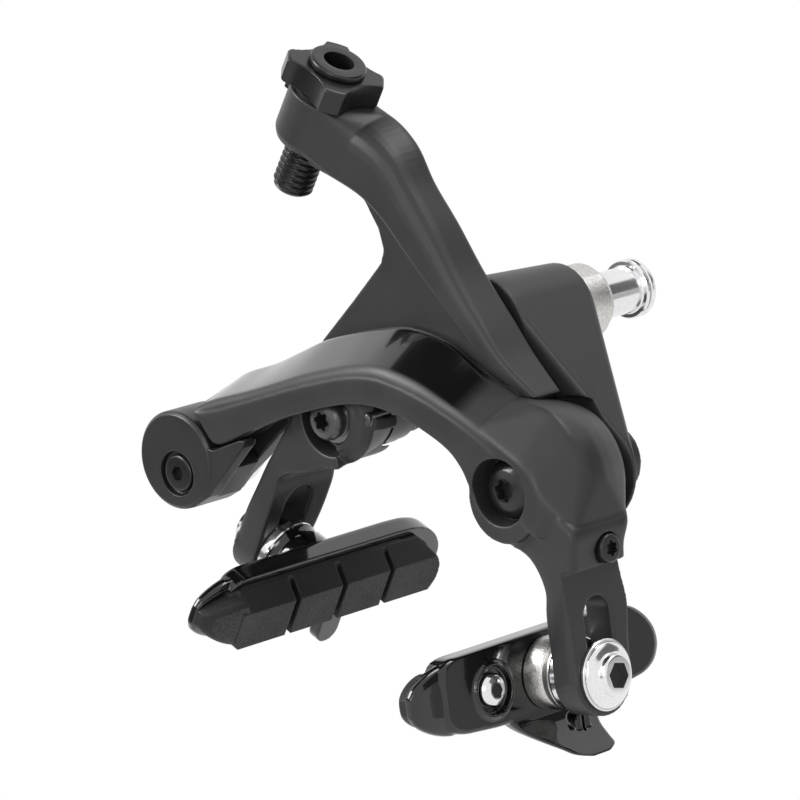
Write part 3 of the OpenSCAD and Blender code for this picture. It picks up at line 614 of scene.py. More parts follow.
def build_bracket():
    adders = []
    for pivot, r, step in ((RIGHT_PIVOT, 6.6, 0.8), (LEFT_PIVOT, 5.4, 0.2)):
        discs = [((0, 0), 8.5, -26, -23), ((0, 0), 7.6, -10, -7), (pivot, r, -20, -17),
                 (pivot, 3.6, -15.2, -14)]
        if pivot == RIGHT_PIVOT:
            discs.append((pivot, 9.9, -20, -19.5))
        adders += [hull_of(discs), rod(pivot, r - step, -18, -13.4)]
    cutters = [rod((0, 0), 3, -28, 2), rod((0, 0), 5.05, -28, -22)]
    for pivot in (RIGHT_PIVOT, LEFT_PIVOT):
        cutters += [rod(pivot, 3, -28, 2), rod(pivot, 7, -28, -20.01)]
    cutters += [rod(RIGHT_PIVOT, 12.2, -28, -21.7), rod(LEFT_PIVOT, 10, -28, -22.4)]
    return sculpted("bracket_form", adders, cutters, voxel=0.25, smooth=6, keep=0.4)


# Materials
WHITE = (1, 1, 1, 1)
SLOW_SCALE = 90.0


def add_node(tree, kind, **sockets):
    """Shader node with values on its sockets, the blanks in their names written as underscores."""
    made = tree.nodes.new("ShaderNode" + kind)
    for name, value in sockets.items():
        made.inputs[name.replace("_", " ")].default_value = value
    return made


def noise(tree, place, scale, detail):
    made = add_node(tree, "TexNoise", Scale=scale, Detail=detail)
    tree.links.new(place, made.inputs["Vector"])
    return made.outputs["Fac"]


def ranged(tree, value, low, high, to_low, to_high):
    """A value taken from one range to another."""
    made = add_node(tree, "MapRange", From_Min=low, From_Max=high, To_Min=to_low, To_Max=to_high)
    tree.links.new(value, made.inputs["Value"])
    return made.outputs["Result"]


def mixed(tree, kind, *given):
    """Mix of two numbers (FLOAT) or colours (RGBA): its factor, first and second, each a value or
    the output of another node."""
    mix = tree.nodes.new("ShaderNodeMix")
    mix.data_type = kind
    first, second, out = (6, 7, 2) if kind == "RGBA" else (2, 3, 0)
    for value, k in zip(given, (0, first, second)):
        if isinstance(value, bpy.types.NodeSocket):
            tree.links.new(value, mix.inputs[k])
        else:
            mix.inputs[k].default_value = value
    return mix.outputs[out]


def material(name, colour, rough, spread, grain, grain_size, mottle, metallic=0, specular=0.5,
             coat=0, coat_rough=0.1):
    """Shader with a fine grain in its bump and slow changes of colour and roughness."""
    mat = bpy.data.materials.new(name)
    mat.use_nodes = True
    tree = mat.node_tree
    shader = tree.nodes["Principled BSDF"]
    for socket, value in (("Metallic", metallic), ("Specular IOR Level", specular),
                          ("Coat Weight", coat), ("Coat Roughness", coat_rough)):
        shader.inputs[socket].default_value = value
    place = tree.nodes.new("ShaderNodeTexCoord").outputs["Object"]
    slow = noise(tree, place, SLOW_SCALE, 4.0)
    fine = noise(tree, place, 1.0 / (grain_size * MM), 2.0)
    tint = ranged(tree, mixed(tree, "FLOAT", 0.5, slow, fine), 0.35, 0.65, 0.0, 1.0)
    low, high = ([c * (1 + m) for c in colour] + [1] for m in (-mottle, mottle))
    tree.links.new(mixed(tree, "RGBA", tint, low, high), shader.inputs["Base Color"])
    gloss = ranged(tree, slow, 0.3, 0.7, max(rough - spread, 0.02), rough + spread)
    tree.links.new(gloss, shader.inputs["Roughness"])
    bump = add_node(tree, "Bump", Strength=1.0, Distance=grain * MM)
    tree.links.new(fine, bump.inputs["Height"])
    tree.links.new(bump.outputs["Normal"], shader.inputs["Normal"])
    return mat


def two_finishes(name, base, colour, rough, coat_rough):
    """Copy of a material that turns glossy and dark where the mesh's gloss attribute is 1."""
    mat = base.copy()
    mat.name = name
    tree = mat.node_tree
    shader = tree.nodes["Principled BSDF"]
    where = tree.nodes.new("ShaderNodeAttribute")
    where.attribute_name = "gloss"
    gloss = where.outputs["Fac"]
    for socket, kind, value in (("Base Color", "RGBA", (*colour, 1)),
                                ("Roughness", "FLOAT", rough)):
        source = shader.inputs[socket].links[0].from_socket
        tree.links.new(mixed(tree, kind, gloss, source, value), shader.inputs[socket])
    tree.links.new(gloss, shader.inputs["Coat Weight"])
    shader.inputs["Coat Roughness"].default_value = coat_rough
    bump = shader.inputs["Normal"].links[0].from_node
    tree.links.new(ranged(tree, gloss, 0.0, 1.0, 1.0, 0.05), bump.inputs["Strength"])
    return mat


def ramp(value, start, width):
    return np.clip((value - start) / width, 0, 1)


def mark_gloss(obj):
    """Glossy panel on the top of the right arm, from the drum to near the hub."""
    mesh = obj.data
    count = len(mesh.vertices)
    points, normals = np.empty(count * 3), np.empty(count * 3)
    mesh.vertices.foreach_get("co", points)
    mesh.vertices.foreach_get("normal", normals)
    x, y, z = points.reshape(-1, 3).T / MM
    normals = normals.reshape(-1, 3)
    path = np.array([(-50.0, -26.0), (-44.4, -23.0), (-31.3, -16.4), (-19.8, -10.6), (-8.1, -6.6),
                     (-0.4, -6.7), (6.4, -7.8), (13.6, -9.6), (20.2, -12.2)])
    slope = np.gradient(path[:, 1], path[:, 0])
    angle = np.interp(x, path[:, 0], np.arctan(slope))
    height = np.interp(x, path[:, 0], path[:, 1])
    up = -np.sin(angle) * normals[:, 0] + np.cos(angle) * normals[:, 2]
    facing = ramp(up, 0.45, 0.15)
    along = ramp(-x, -11.0, 3.0) * ramp(x, -46.5, 0.5)
    level = ramp(z - height, -2.0, 0.5) * (y < -32.5) * ramp(y, -42.2, 0.5)
    gloss = (facing * along * level).astype(np.float32)
    attribute = mesh.attributes.new("gloss", "FLOAT", "POINT")
    attribute.data.foreach_set("value", gloss)
    # the polished panel gets a more even surface than the satin around it
    panel = obj.vertex_groups.new(name="panel")
    panel.add([int(i) for i in np.flatnonzero(gloss > 0.5)], 1.0, "REPLACE")
    applied(evened(obj, 24, "panel"))
    obj.vertex_groups.clear()


# Each as name, colour, roughness and its spread, height and size of the grain in mm, mottle
SATIN = material("satin_grey", (0.028, 0.028, 0.030), 0.42, 0.04, 0.006, 0.16, 0.14, specular=0.45)
BLACK_SATIN = material("satin_black", (0.020, 0.020, 0.0215), 0.36, 0.04, 0.004, 0.16, 0.14,
                       specular=0.45)
GLOSS = material("gloss_black", (0.004, 0.004, 0.0045), 0.10, 0.02, 0.0015, 0.8, 0.1,
                 specular=0.4, coat=0.6, coat_rough=0.04)
DARK = material("black_plated", (0.010, 0.010, 0.011), 0.28, 0.06, 0.003, 0.2, 0.2)
GREY_BOLT = material("grey_plated", (0.09, 0.09, 0.093), 0.32, 0.05, 0.003, 0.2, 0.15, metallic=0.6)
POLISHED = material("polished_steel", (0.80, 0.80, 0.81), 0.16, 0.05, 0.002, 0.5, 0.06, metallic=1)
PLAIN = material("plain_steel", (0.50, 0.49, 0.47), 0.34, 0.08, 0.01, 0.3, 0.15, metallic=1)
CAST = material("granular_steel", (0.62, 0.61, 0.59), 0.36, 0.1, 0.06, 0.35, 0.3, metallic=1)
BRASS = material("bush_bronze", (0.45, 0.30, 0.14), 0.35, 0.06, 0.004, 0.25, 0.15, metallic=1)
RUBBER = material("pad_rubber", (0.016, 0.016, 0.017), 0.50, 0.06, 0.03, 0.3, 0.35, specular=0.35)
WORN = material("pad_rubber_worn", (0.055, 0.055, 0.056), 0.72, 0.06, 0.10, 0.3, 0.6, specular=0.3)
# Painted shade for the insides of driver sockets: a dark, dull finish in place of the bolt's own
# metal
PAINTED_SHADE = material("socket_shade", (0.02, 0.02, 0.021), 0.45, 0.05, 0.004, 0.25, 0.2, specular=0.3)
PLASTIC = material("black_plastic", (0.012, 0.012, 0.012), 0.4, 0.04, 0.01, 0.25, 0.15,
                   specular=0.4)
ARM = two_finishes("satin_grey_with_gloss", SATIN, (0.004, 0.004, 0.0045), 0.16, 0.05)
SLOT_MATERIAL = {"arm_grey": SATIN, "gloss_black": GLOSS, "dark_bolt": DARK,
                 "polished_steel": POLISHED, "plain_steel": PLAIN, "brass": BRASS,
                 "pad_rubber": RUBBER, "black_plastic": PLASTIC}


# Turned parts
NEARLY_STRAIGHT = 0.08
RINGS_PER_TURN = 8
BORE = 2.62
ADJUSTER_TOP = 25.52


def softened(profile, r):
    """Profile of (radius, height) points with round corners, its ends kept."""
    out = [profile[0]]
    for i in range(1, len(profile) - 1):
        p, a, b = (np.array(profile[k], float) for k in (i, i - 1, i + 1))
        la, lb = np.linalg.norm(a - p), np.linalg.norm(b - p)
        ua, ub = (a - p) / la, (b - p) / lb
        if abs(ua[0] * ub[1] - ua[1] * ub[0]) < NEARLY_STRAIGHT:
            out.append(tuple(p))
            continue
        size = min(r, 0.42 * la, 0.42 * lb)
        out += [tuple(c) for c in arc_corner(p, a, b, size, 4)]
    out.append(profile[-1])
    return out


def turned_part(name, profile, matrix, r=0.15, cutters=()):
    """Turned piece with its edges rounded to r, the cutters taken out."""
    obj = lathe(softened(profile, r), matrix, FINE, name)
    return finished(carved(obj, cutters), SHARP)


def socket_star(r, low, high, matrix):
    """Six-lobed driver socket along z."""
    outline = []
    for k in range(FINE):
        a = 2 * math.pi * k / FINE
        lobed = r * (0.86 + 0.14 * math.cos(6 * a))
        outline.append((lobed * math.cos(a), lobed * math.sin(a)))
    return prism(outline, low, high, matrix)


def socket_hex(r, low, high, matrix, spin=0.0):
    return prism(circle(r, 6, spin), low, high, matrix)


def threaded(r, depth, pitch, low, high, matrix):
    """Hollow bar with a helical thread between two heights, thinner at its foot."""
    rings, steps = [], COARSE
    levels = int((high - low) / pitch * RINGS_PER_TURN)
    for i in range(levels + 1):
        h = low + (high - low) * i / levels
        fade = min(1.0, (high - h) / (0.8 * pitch) + 0.001)
        foot = 1.0 - 0.7 * max(0.0, 1 - (h - low) / (0.6 * pitch))
        ring = []
        for k in range(steps):
            a = 2 * math.pi * k / steps
            phase = (h / pitch - k / steps) % 1.0
            tooth = min(1.0, max(0.0, 1.6 - abs(phase - 0.5) * 4.4))
            rr = r - depth * (1 - tooth * foot) * fade - (0.35 * (1 - foot))
            ring.append((rr * math.cos(a), rr * math.sin(a), h))
        rings.append(ring)
    rings += [[(x, y, h) for x, y in circle(BORE, steps)] for h in (high, low)]
    return loft(rings, matrix, closed=True)


def second_finish(obj, mat, chosen):
    """Gives the faces that pass a test on their middle and normal, in mm, a second material."""
    obj.data.materials.append(mat)
    for poly in obj.data.polygons:
        if chosen(poly.center / MM, poly.normal):
            poly.material_index = 1
    return obj


def in_socket(matrix, r, low, high):
    """Test for faces of a socket: near the axis and between two heights of the matrix."""
    back = matrix.inverted()

    def chosen(centre, normal):
        p = back @ centre
        return math.hypot(p.x, p.y) < r and low < p.z < high
    return chosen


def put(obj, body, *nodes, mat, slot):
    obj.data.materials.clear()
    obj.data.materials.append(mat)
    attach(obj, body)
    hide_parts(*nodes)
    return obj


def along_y(p):
    """Frame on a pivot axis whose z grows to the rear, its y upward."""
    return Matrix.Translation((p[0], 0, p[1])) @ FLAT


def build_fasteners():
    right, left = along_y(RIGHT_PIVOT), along_y(LEFT_PIVOT)
    dome = [(0, -41.0), (2.0, -40.95), (3.4, -40.55), (4.4, -39.9), (5.0, -39.1), (5.0, -38.2),
            (3.0, -38.2), (3.0, -13.1), (0, -13.1)]
    bolt = put(turned_part("right_pivot_bolt_form", dome, right, 0.25,
                           [socket_star(1.95, -44, -39.3, right)]),
               "frame", "right_pivot_bolt", mat=DARK, slot="dark_bolt")
    # the inside of its socket gets painted shade
    second_finish(bolt, PAINTED_SHADE, in_socket(right, 2.1, -40.6, -39))
    dome = [(0, -42.0), (1.9, -41.95), (2.9, -41.6), (3.4, -41.0), (3.5, -40.4), (3.5, -39.0),
            (3.0, -39.0), (3.0, -13.1), (0, -13.1)]
    bolt = put(turned_part("left_pivot_bolt_form", dome, left, 0.2,
                           [socket_star(1.7, -44, -39.6, left)]),
               "frame", "left_pivot_bolt", mat=GREY_BOLT, slot="dark_bolt")
    # the inside of its socket gets painted shade
    second_finish(bolt, PAINTED_SHADE, in_socket(left, 1.85, -41.9, -39))
    ring = [(3.02, -39.0), (4.2, -39.0), (4.2, -38.45), (3.02, -38.45)]
    put(turned_part("left_flange_ring_form", ring + ring[:1], left, 0.0),
        "frame", "left_flange_ring", mat=POLISHED, slot="polished_steel")
    small = leg_matrix(1) @ Matrix.Translation((SCREW_SEAT, *SCREW)) @ ON_BOLT
    put(turned_part("centring_screw_form",
                    [(0, 1.75), (2.05, 1.73), (2.35, 1.5), (2.45, 1.15), (2.45, 0.05), (1.1, 0.05),
                     (1.1, -1.4), (0, -1.4)], small, 0.12, [socket_star(1.35, 0.75, 4, small)]),
        "centring_screw_body", "centring_screw", mat=DARK, slot="dark_bolt")
    lever = along_y(LEVER_SCREW)
    put(turned_part("lever_screw_form",
                    [(0, -43.9), (2.7, -43.88), (3.05, -43.75), (3.2, -43.5), (3.2, -42.8),
                     (1.5, -42.8), (1.5, -41.0), (0, -41.0)], lever, 0.1,
                    [socket_hex(1.35, -46, -42.9, lever, 0.2)]),
        "lever", "lever_screw", mat=DARK, slot="dark_bolt")


def build_stud():
    axis = along_y((0, 0))
    washer = [(3.1, -7.0), (6.2, -7.0), (6.5, -6.7), (6.5, -1.5), (5.7, -0.15), (5.5, 0), (4.1, 0),
              (4.1, -0.6), (3.1, -0.6), (3.1, -7.0)]
    obj = lathe(softened(washer, 0.0)[:-1], axis, FINE, "serrated_washer_form")
    put(finished(obj, SHARP), "frame", "serrated_washer", mat=CAST, slot="polished_steel")
    nut = [(3.0, 0), (3.85, 0), (4.0, 0.15), (4.0, 9.1), (4.2, 9.35), (4.8, 9.4), (5.0, 9.6),
           (5.0, 10.0), (4.85, 10.15), (4.5, 10.2), (4.5, 10.5), (4.85, 10.55), (5.0, 10.75),
           (5.0, 11.4), (4.9, 11.65), (4.65, 11.8), (3.3, 11.8), (3.0, 11.5)]
    obj = carved(lathe(nut, axis, FINE, "recessed_nut_form"), [socket_hex(3.25, 8.9, 13, axis)])
    put(finished(obj, SHARP), "frame", "recessed_nut", mat=POLISHED, slot="polished_steel")


def build_adjuster():
    at = adjuster_matrix()
    top, collar = ADJUSTER_TOP, ADJUSTER_TOP - 1.2
    bolt = threaded(3.5, 0.45, 1.15, 0.0, collar - 0.4, at)
    rim = [(BORE, collar - 0.5), (4.35, collar - 0.5), (4.35, collar), (4.9, collar),
           (4.9, top - 0.35), (4.6, top), (BORE, top)]
    flange = lathe(softened(rim + rim[:1], 0.12)[:-1], at, FINE)
    plug = lathe([(1.2, 0.05), (2.7, 0.05), (2.7, 12.5), (1.2, 12.5)], at, COARSE)
    obj = joined("adjuster_bolt_form", [bolt, flange, plug])
    put(finished(obj, 30), "adjuster_bolt_body", "adjuster_bolt", mat=DARK, slot="dark_bolt")
    # four hollows in the side of the nut, each drawn up to the corners beside it
    outline = []
    hollow_x, hollow_r, corner_r = 14.33, 8.63, 8.47
    reach = math.acos((hollow_x ** 2 + hollow_r ** 2 - corner_r ** 2) / (2 * hollow_x * hollow_r))
    for q in range(4):
        turn = q * math.pi / 2
        for k in range(-8, 9):
            a = math.pi - reach * k / 8
            hollow = (hollow_x + hollow_r * math.cos(a), hollow_r * math.sin(a))
            outline.append(turned(hollow, -turn))
    low, high = 19.7, 24.25
    nut = prism(outline, low, high, at)
    bound = lathe(softened([(0, low + 0.05), (8.0, low + 0.05), (8.6, low + 0.6), (8.6, high - 0.6),
                            (8.0, high - 0.05), (0, high - 0.05)], 0.3), at, FINE)
    carved(nut, [bound], "INTERSECT")
    carved(nut, [lathe([(0, 10), (3.55, 10), (3.55, 40), (0, 40)], at, ROUND)])
    nut = sculpted("adjuster_nut_form", [nut], voxel=0.12, smooth=4, keep=0.4)
    put(nut, "adjuster_nut_body", "adjuster_nut", mat=DARK, slot="dark_bolt")


def build_spring():
    """Round wire: two turns on its sleeve, then along the hub to its hook."""
    lx, lz = LEFT_PIVOT
    coil_r, wire_r, pitch, per_turn = 5.1, 0.58, 1.25, 24
    path = []
    for i in range(2 * per_turn + 1):
        a = 2 * math.pi * i / per_turn
        path.append((coil_r * math.cos(a), -20.8 - pitch * i / per_turn, coil_r * math.sin(a)))
    end = -23.3
    knots = [path[-1], (5.6, end - 0.1, 1.6), (7.2, end - 0.3, 2.7), (8.2, end - 1, 3.1),
             (8.6, end - 2.4, 3.2), (8.6, -30, 3.2), (8.6, -36, 3.2), (8.6, -39.6, 3.2),
             (8.9, -40.7, 3.5), (9.4, -40.95, 3.6), (9.7, -41.0, 3.0), (9.5, -41.0, 2.2)]
    path += [tuple(p) for p in spline(knots, 5)][1:]
    points = [Vector((lx + p[0], p[1], lz + p[2])) for p in path]
    rings = []
    side = Vector((0, 1, 0))
    for i, p in enumerate(points):
        d = (points[min(i + 1, len(points) - 1)] - points[max(i - 1, 0)]).normalized()
        side = (side - d * side.dot(d)).normalized()
        up = d.cross(side)
        rings.append([tuple(p + wire_r * (c * side + s * up)) for c, s in circle(1, 12)])
    return loft(rings, name="return_spring_form")


def build_release_lever():
    tail = [(-52, -30.5), (-46.4, -29.9), (-44.9, -30.3), (-43.2, -30.9), (-42, -30.7),
            (-40.1, -29.4), (-36.6, -27.3), (-35.1, -26.9), (-35.5, -28.2), (-38.2, -32.4),
            (-42.4, -39.3), (-45.8, -42.2), (-49, -43.3)]
    tail_rear = [(-52, -30.5), (-46.4, -29.9), (-44.4, -30.9), (-41.5, -31.8), (-39.8, -33.8),
                 (-43.4, -40.2), (-46.2, -42.4), (-49, -43.3)]
    adders = [
        lathe([(0, -44), (7.9, -44), (8.5, -43.4), (8.5, -34.6), (0, -34.6)], along_y(DRUM), FINE),
        prism(tail, -43.7, -40.8, FLAT),
        prism(tail_rear, -40.95, -34.6, FLAT)]
    cutters = [rod(LEVER_SCREW, 3.85, -46, -42.78), rod(LEVER_SCREW, 1.45, -46, -41),
               rod(DRUM, 3.03, -40.05, -30)]
    return sculpted("release_lever_form", adders, cutters, voxel=0.16, smooth=4, keep=0.5)


# Shoes
# Outlines in y and z of the leg frame, and rows of the arch under the holder as z, x from and to,
# y from and to
holder_outline = [(-25.2, 4.6), (-24, 6.4), (-21.8, 7.1), (15.8, 7.1), (19.6, 6.9), (23, 6.0),
                  (26, 3.8), (27.9, 1.2), (28.3, -1.6), (27, -4.2), (24.4, -5.6), (20, -6.2),
                  (-12.6, -6.4), (-21, -5.7), (-24.2, -4.6), (-25.2, -2.6)]
seat_outline = [(-25.8, 4.6), (-22, 5.7), (15, 5.7), (20, 4.8), (23.6, 2.6), (25.8, -0.2),
                (25.2, -2.8), (20, -4.3), (-22, -4.4), (-25.2, -3.2)]
body_outline = [(-24.6, 4.4), (-21.6, 7), (17.5, 7), (20.4, 5), (23.2, 2.4), (24.4, 0.4),
                (24.5, -2.4), (23.4, -4.4), (22.4, -6), (-21.4, -6), (-24.6, -3.6)]
fin_rows = [(-4.6, -12.6, -10, -12, 15), (-7.6, -12, -9.6, -8.8, 11.5),
            (-9.8, -9.8, -7.8, -6.2, 9), (-12.2, -6.8, -5.2, -3, 8.2),
            (-13.4, -5.2, -3.8, -1.4, 7.8), (-14.2, -4.2, -3.0, 1.4, 5.4)]
BASE_X = -STACK_X - 1.7
RIM_X = -STACK_X - HOLDER_T
PAD_SCREW = (-13.2, 0)
WORD = {1: "right", -1: "left"}
FULLNESS = 0.6


def grown(points, d):
    return [(y + (d if y > 0 else -d), z + (d if z > 0 else -d)) for y, z in points]


def rounded_outline(points, r, n=5):
    out = []
    for i, p in enumerate(points):
        a, b = points[i - 1], points[(i + 1) % len(points)]
        size = min(r, *(0.45 * np.linalg.norm(np.array(q) - np.array(p)) for q in (a, b)))
        out += [tuple(c) for c in arc_corner(p, a, b, size, n)]
    return out


def nose_rings(start, tip, levels=9, blunt=0.8):
    """Blunt nose from a start section to a tip section, each as y, x low, x high, z low, z high."""
    rings = []
    for i in range(levels + 1):
        t = i / levels
        k = (1 - t ** 1.5) ** blunt
        y = start[0] + (tip[0] - start[0]) * t
        x0, x1, z0, z1 = (tip[j] + (start[j] - tip[j]) * k for j in (1, 2, 3, 4))
        cx, cz, hx, hz = (x0 + x1) / 2, (z0 + z1) / 2, (x1 - x0) / 2, (z1 - z0) / 2
        ring = []
        for c, s in circle(1, 24):
            ring.append((cx + hx * math.copysign(abs(c) ** FULLNESS, c), y,
                         cz + hz * math.copysign(abs(s) ** FULLNESS, s)))
        rings.append(ring)
    return rings


def build_holder(side):
    at = leg_matrix(side)
    outline = rounded_outline(holder_outline, 2.0)
    shares = [(RIM_X, 1.0), (-STACK_X - 1.0, 1.0), (-STACK_X - 0.35, 0.99), (-STACK_X, 0.955)]
    plate_rings = [[(x, y * k, z * k) for y, z in outline] for x, k in shares]
    fins = []
    for f in spline([list(f) for f in fin_rows], 5):
        z, x0, x1, y0, y1 = f
        fins.append([(x, y, z) for y, x in rounded_outline(
            [(y0, x0), (y0, x1), (y1, x1), (y1, x0)], 0.8, 4)])
    tongue = nose_rings((-22.5, RIM_X + 0.4, -STACK_X - 0.15, -5.5, 6.6),
                        (-30.95, -12.8, -11.4, -0.8, 2.6), 10, 0.62)
    adders = [
        loft(plate_rings, at),
        loft(tongue, at),
        loft(fins, at),
        cone_on_bolt(5.2, 4.6, -11.6, -STACK_X + 0.5, side, PAD_SCREW),
        bolt_rod(2.5, -13.0, -10.8, side, (6, -11.6)),
        box((-13.0, 3.5, -11.6), (-10.8, 8.5, -5.6), at),
        bolt_rod(1.9, -10.3, -7.2, side, (4.2, -9.3))]
    seat = [[(x, y, z) for y, z in rounded_outline(grown(seat_outline, 0.05), 1.0)]
            for x in (RIM_X - 1, BASE_X)]
    slit = box((-8.0, 3.9, -11.6), (-7.0, 4.5, -7.0), at)
    cutters = [
        loft(seat, at),
        bolt_rod(3.0, -15, 1, side),
        bolt_rod(4.0, -STACK_X - 0.8, 1, side, PAD_SCREW),
        bolt_rod(1.6, -15, 1, side, PAD_SCREW), slit]
    return sculpted(WORD[side] + "_shoe_holder_form", adders, cutters, voxel=0.17, smooth=5,
                    keep=0.45)


def build_pad(side):
    at = leg_matrix(side)
    section_xz = [(RIM_X + 0.1, 5.4), (RIM_X - 0.6, 5.4), (-PAD_FACE, 2.8), (-PAD_FACE, -4.5),
                  (RIM_X + 0.1, -4.3)]
    body = loft([[(x, y, z) for x, z in section_xz] for y in (-24.6, 26)], at)
    carved(body, [prism(rounded_outline(body_outline, 1.5), -20, -12, at @ SIDE)], "INTERSECT")
    seat = prism(rounded_outline(seat_outline, 1.0), RIM_X - 0.2, BASE_X, at @ SIDE)
    nose = nose_rings((-23.2, -PAD_FACE, BASE_X - 0.3, -4.4, 4.9),
                      (-30.8, RIM_X - 0.6, BASE_X - 0.5, -0.4, 2.2))
    adders = [body, seat, loft(nose, at)]
    cutters = [bolt_rod(4.4, BASE_X - 1.6, BASE_X + 1, side),
               bolt_rod(1.6, BASE_X - 3, BASE_X + 1, side, PAD_SCREW)]
    for y in (-12.0, -0.6, 11.0):
        cutters.append(box((-PAD_FACE - 1, y, -6.5), (RIM_X - 0.6, y + 1.2, 8), at))
    return sculpted(WORD[side] + "_pad_form", adders, cutters, voxel=0.17, smooth=4, keep=0.45)


def build_shoe_metal(side):
    word = WORD[side]
    body = word + "_shoe"
    at = leg_matrix(side) @ ON_BOLT
    out = LEG_T / 2 + 0.7
    bolt = [(0, out + 2.4), (3.1, out + 2.4), (3.5, out + 2.1), (3.55, out + 1.35),
            (3.9, out + 1.1), (4.8, out + 0.75), (5.35, out + 0.4), (5.5, out + 0.02),
            (3.0, out + 0.02), (3.0, -STACK_X - 2.65), (0, -STACK_X - 2.65)]
    obj = put(turned_part(word + "_shoe_bolt_form", bolt, at, 0.18,
                          [socket_hex(2.35, out + 0.4, out + 5, at, 0.3)]),
              body, word + "_shoe_bolt", mat=POLISHED, slot="polished_steel")
    # the inside of its socket gets painted shade
    second_finish(obj, PAINTED_SHADE, in_socket(at, 2.4, out, out + 2.2))
    washer = [(3.1, LEG_T / 2), (5.75, LEG_T / 2), (5.9, LEG_T / 2 + 0.15), (5.9, out - 0.15),
              (5.75, out), (3.1, out)]
    dome = [(3.1, -2.6), (5.9, -2.6), (6.1, -2.8), (6.1, -3.9), (5.9, -4.2), (5.2, -5.05),
            (4.4, -5.8), (3.1, -5.8)]
    cup = [(3.1, -STACK_X), (5.85, -STACK_X), (6.1, -STACK_X + 0.25), (6.1, -6.6), (5.75, -5.9),
           (5.85, -4.9), (6.1, -4.5), (6.06, -4.25), (5.75, -4.5), (4.55, -5.85), (3.1, -5.85)]
    cup_look = (CAST, "polished_steel") if side > 0 else (GLOSS, "gloss_black")
    for part, profile, (mat, slot) in (("outer", washer, (POLISHED, "plain_steel")),
                                       ("dome", dome, (POLISHED, "plain_steel")),
                                       ("cup", cup, cup_look)):
        part = f"{word}_{part}_washer"
        obj = lathe(profile, at, FINE, part + "_form")
        put(finished(obj, SHARP), body, part, mat=mat, slot=slot)
    screw_at = leg_matrix(side) @ Matrix.Translation((0, *PAD_SCREW)) @ ON_BOLT
    screw = [(0, -STACK_X + 0.9), (1.6, -STACK_X + 0.85), (2.4, -STACK_X + 0.5),
             (2.85, -STACK_X - 0.1), (2.9, -STACK_X - 0.8), (1.55, -STACK_X - 0.8),
             (1.55, BASE_X - 1.6), (0, BASE_X - 1.6)]
    obj = put(turned_part(word + "_pad_screw_form", screw, screw_at, 0.15,
                          [socket_hex(1.3, -STACK_X - 0.2, -STACK_X + 3, screw_at, 0.4)]),
              body, word + "_pad_screw", mat=POLISHED, slot="polished_steel")
    # the inside of its socket gets painted shade
    second_finish(obj, PAINTED_SHADE, in_socket(screw_at, 1.35, -STACK_X - 0.5, -STACK_X + 0.6))
    put(build_holder(side), body, word + "_shoe_holder", mat=GLOSS, slot="gloss_black")
    pad = put(build_pad(side), body, word + "_pad", mat=RUBBER, slot="pad_rubber")
    inward = leg_matrix(side).to_3x3() @ Vector((-1, 0, 0))
    second_finish(pad, WORN, lambda centre, normal: normal.dot(inward) > 0.85)


# CAD nodes keep their slots, each with its own finish
for obj in frame["nodes"].values():
    for holder in [obj] + list(obj.children_recursive):
        for s in holder.material_slots:
            key = s.material.name if s.material else ""
            for name, mat in SLOT_MATERIAL.items():
                if name in key:
                    s.material = mat

right_arm = build_right_arm()
mark_gloss(right_arm)
put(right_arm, "right_arm_body", "right_arm", mat=ARM, slot="arm_grey")
put(build_left_arm(), "left_arm_body", "left_arm", mat=SATIN, slot="arm_grey")
put(build_bracket(), "frame", "bracket", mat=SATIN, slot="arm_grey")
build_fasteners()
build_stud()
build_adjuster()
put(finished(build_spring(), 60), "left_arm_body", "return_spring", mat=GREY_BOLT,
    slot="polished_steel")
put(build_release_lever(), "lever", "release_lever", mat=BLACK_SATIN, slot="arm_grey")
for side in (1, -1):
    build_shoe_metal(side)


# Camera at the photograph's place, its axes and the point it looks at as found from the picture
CAM_RIGHT = Vector((0.73020, 0.67828, 0.08215))
CAM_UP = Vector((-0.28517, 0.19329, 0.93879))
CAM_BACK = Vector((0.62088, -0.70893, 0.33456))
CAM_ACROSS, CAM_HEIGHT, CAM_DISTANCE = -31.518, -16.751, 1000.0
SENSOR_MM, IMAGE_PIXELS, FOCAL_PIXELS = 36.0, 800.0, 5981.687
camera_data = bpy.data.cameras.new("camera")
camera = new_object("camera", camera_data)
spot = (CAM_ACROSS * CAM_RIGHT + CAM_HEIGHT * CAM_UP + CAM_DISTANCE * CAM_BACK) * MM
turn = Matrix((CAM_RIGHT, CAM_UP, CAM_BACK)).transposed().to_4x4()
camera.matrix_world = Matrix.Translation(spot) @ turn
camera_data.sensor_width = SENSOR_MM
camera_data.lens = FOCAL_PIXELS * SENSOR_MM / IMAGE_PIXELS
camera_data.clip_start = 0.05
camera_data.clip_end = 20.0
bpy.context.scene.camera = camera


# Floor, backdrop and light
def plane(name, half_x, half_y, z=0.0):
    corners = [(a * half_x, b * half_y, z) for a, b in ((-1, -1), (1, -1), (1, 1), (-1, 1))]
    return from_data(corners, [(0, 1, 2, 3)], name=name)


def plain_to_eye(tree, lit, seen, output):
    """First shader for diffuse light, second for what the camera, mirrors and glass show."""
    path = tree.nodes.new("ShaderNodeLightPath")
    rays = path.outputs["Is Camera Ray"]
    for kind in ("Is Glossy Ray", "Is Transmission Ray"):
        either = tree.nodes.new("ShaderNodeMath")
        either.operation = "MAXIMUM"
        tree.links.new(rays, either.inputs[0])
        tree.links.new(path.outputs[kind], either.inputs[1])
        rays = either.outputs[0]
    blend = tree.nodes.new("ShaderNodeMixShader")
    for source, socket in zip((rays, lit.outputs[0], seen.outputs[0]), blend.inputs):
        tree.links.new(source, socket)
    tree.links.new(blend.outputs[0], tree.nodes[output].inputs["Surface"])


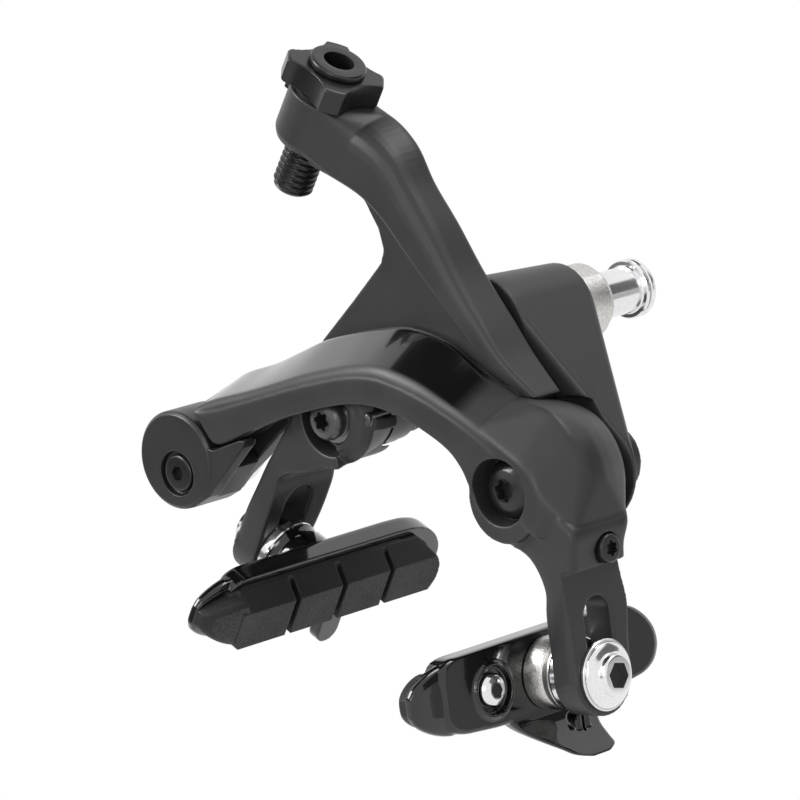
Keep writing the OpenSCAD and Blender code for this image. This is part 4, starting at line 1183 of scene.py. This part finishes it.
FLOOR_Z = cad_box[0][2] - 0.02
floor = plane("floor", 3.0, 3.0, FLOOR_Z)
floor_mat = bpy.data.materials.new("floor_white")
floor_mat.use_nodes = True
floor_tree = floor_mat.node_tree
pale = floor_tree.nodes["Principled BSDF"]
pale.inputs["Base Color"].default_value = (0.8, 0.8, 0.8, 1)
pale.inputs["Roughness"].default_value = 0.9
white = add_node(floor_tree, "Emission", Color=WHITE, Strength=1.0)
plain_to_eye(floor_tree, pale, white, "Material Output")
floor.data.materials.append(floor_mat)

world = bpy.data.worlds.new("studio")
bpy.context.scene.world = world
world.use_nodes = True
sky = world.node_tree.nodes["Background"]
sky.inputs["Color"].default_value = WHITE
sky.inputs["Strength"].default_value = 0.35
white = add_node(world.node_tree, "Background", Color=WHITE, Strength=1.0)
plain_to_eye(world.node_tree, sky, white, "World Output")


def area_light(name, place, size, power):
    """Square lamp with sides in metres that points at the object."""
    data = bpy.data.lights.new(name, "AREA")
    data.shape = "RECTANGLE"
    data.size = data.size_y = size
    data.energy = power
    lamp = new_object(name, data)
    lamp.location = place
    aim = Vector(AIM) - Vector(place)
    lamp.rotation_euler = aim.to_track_quat("-Z", "Y").to_euler()


def dark_card(name, place, size, level, flat=False):
    """Card that only reflections see, facing the object or lying flat."""
    aim = Vector((0, 0, 1)) if flat else (Vector(place) - Vector(AIM)).normalized()
    card = plane(name, size[0] / 2, size[1] / 2)
    card.location = place
    card.rotation_euler = aim.to_track_quat("Z", "Y").to_euler()
    mat = bpy.data.materials.new(name)
    mat.use_nodes = True
    tree = mat.node_tree
    light = add_node(tree, "Emission", Color=WHITE, Strength=level)
    tree.links.new(light.outputs[0], tree.nodes["Material Output"].inputs["Surface"])
    card.data.materials.append(mat)
    for kind in ("camera", "diffuse", "transmission", "volume_scatter", "shadow"):
        setattr(card, "visible_" + kind, False)


AIM = (0.0, -0.03, -0.015)
area_light("key", (-0.60, -0.62, 0.45), 0.45, 8.0)
area_light("overhead", (0.15, 0.35, 0.9), 0.35, 2.5)
area_light("front", (0.50, -0.85, 0.45), 0.35, 2.0)
dark_card("card_top", (-0.50, 0.0, 1.15), (1.0, 0.8), 0.03)
dark_card("card_back_right", (0.80, 0.85, 0.62), (1.3, 0.7), 0.15)
dark_card("card_back_low", (0.95, 0.95, 0.10), (0.9, 0.35), 0.5)
dark_card("card_front_low", (-0.60, -0.66, FLOOR_Z + 0.004), (1.1, 1.1), 0.18, flat=True)

bpy.context.scene.view_settings.view_transform = "Standard"
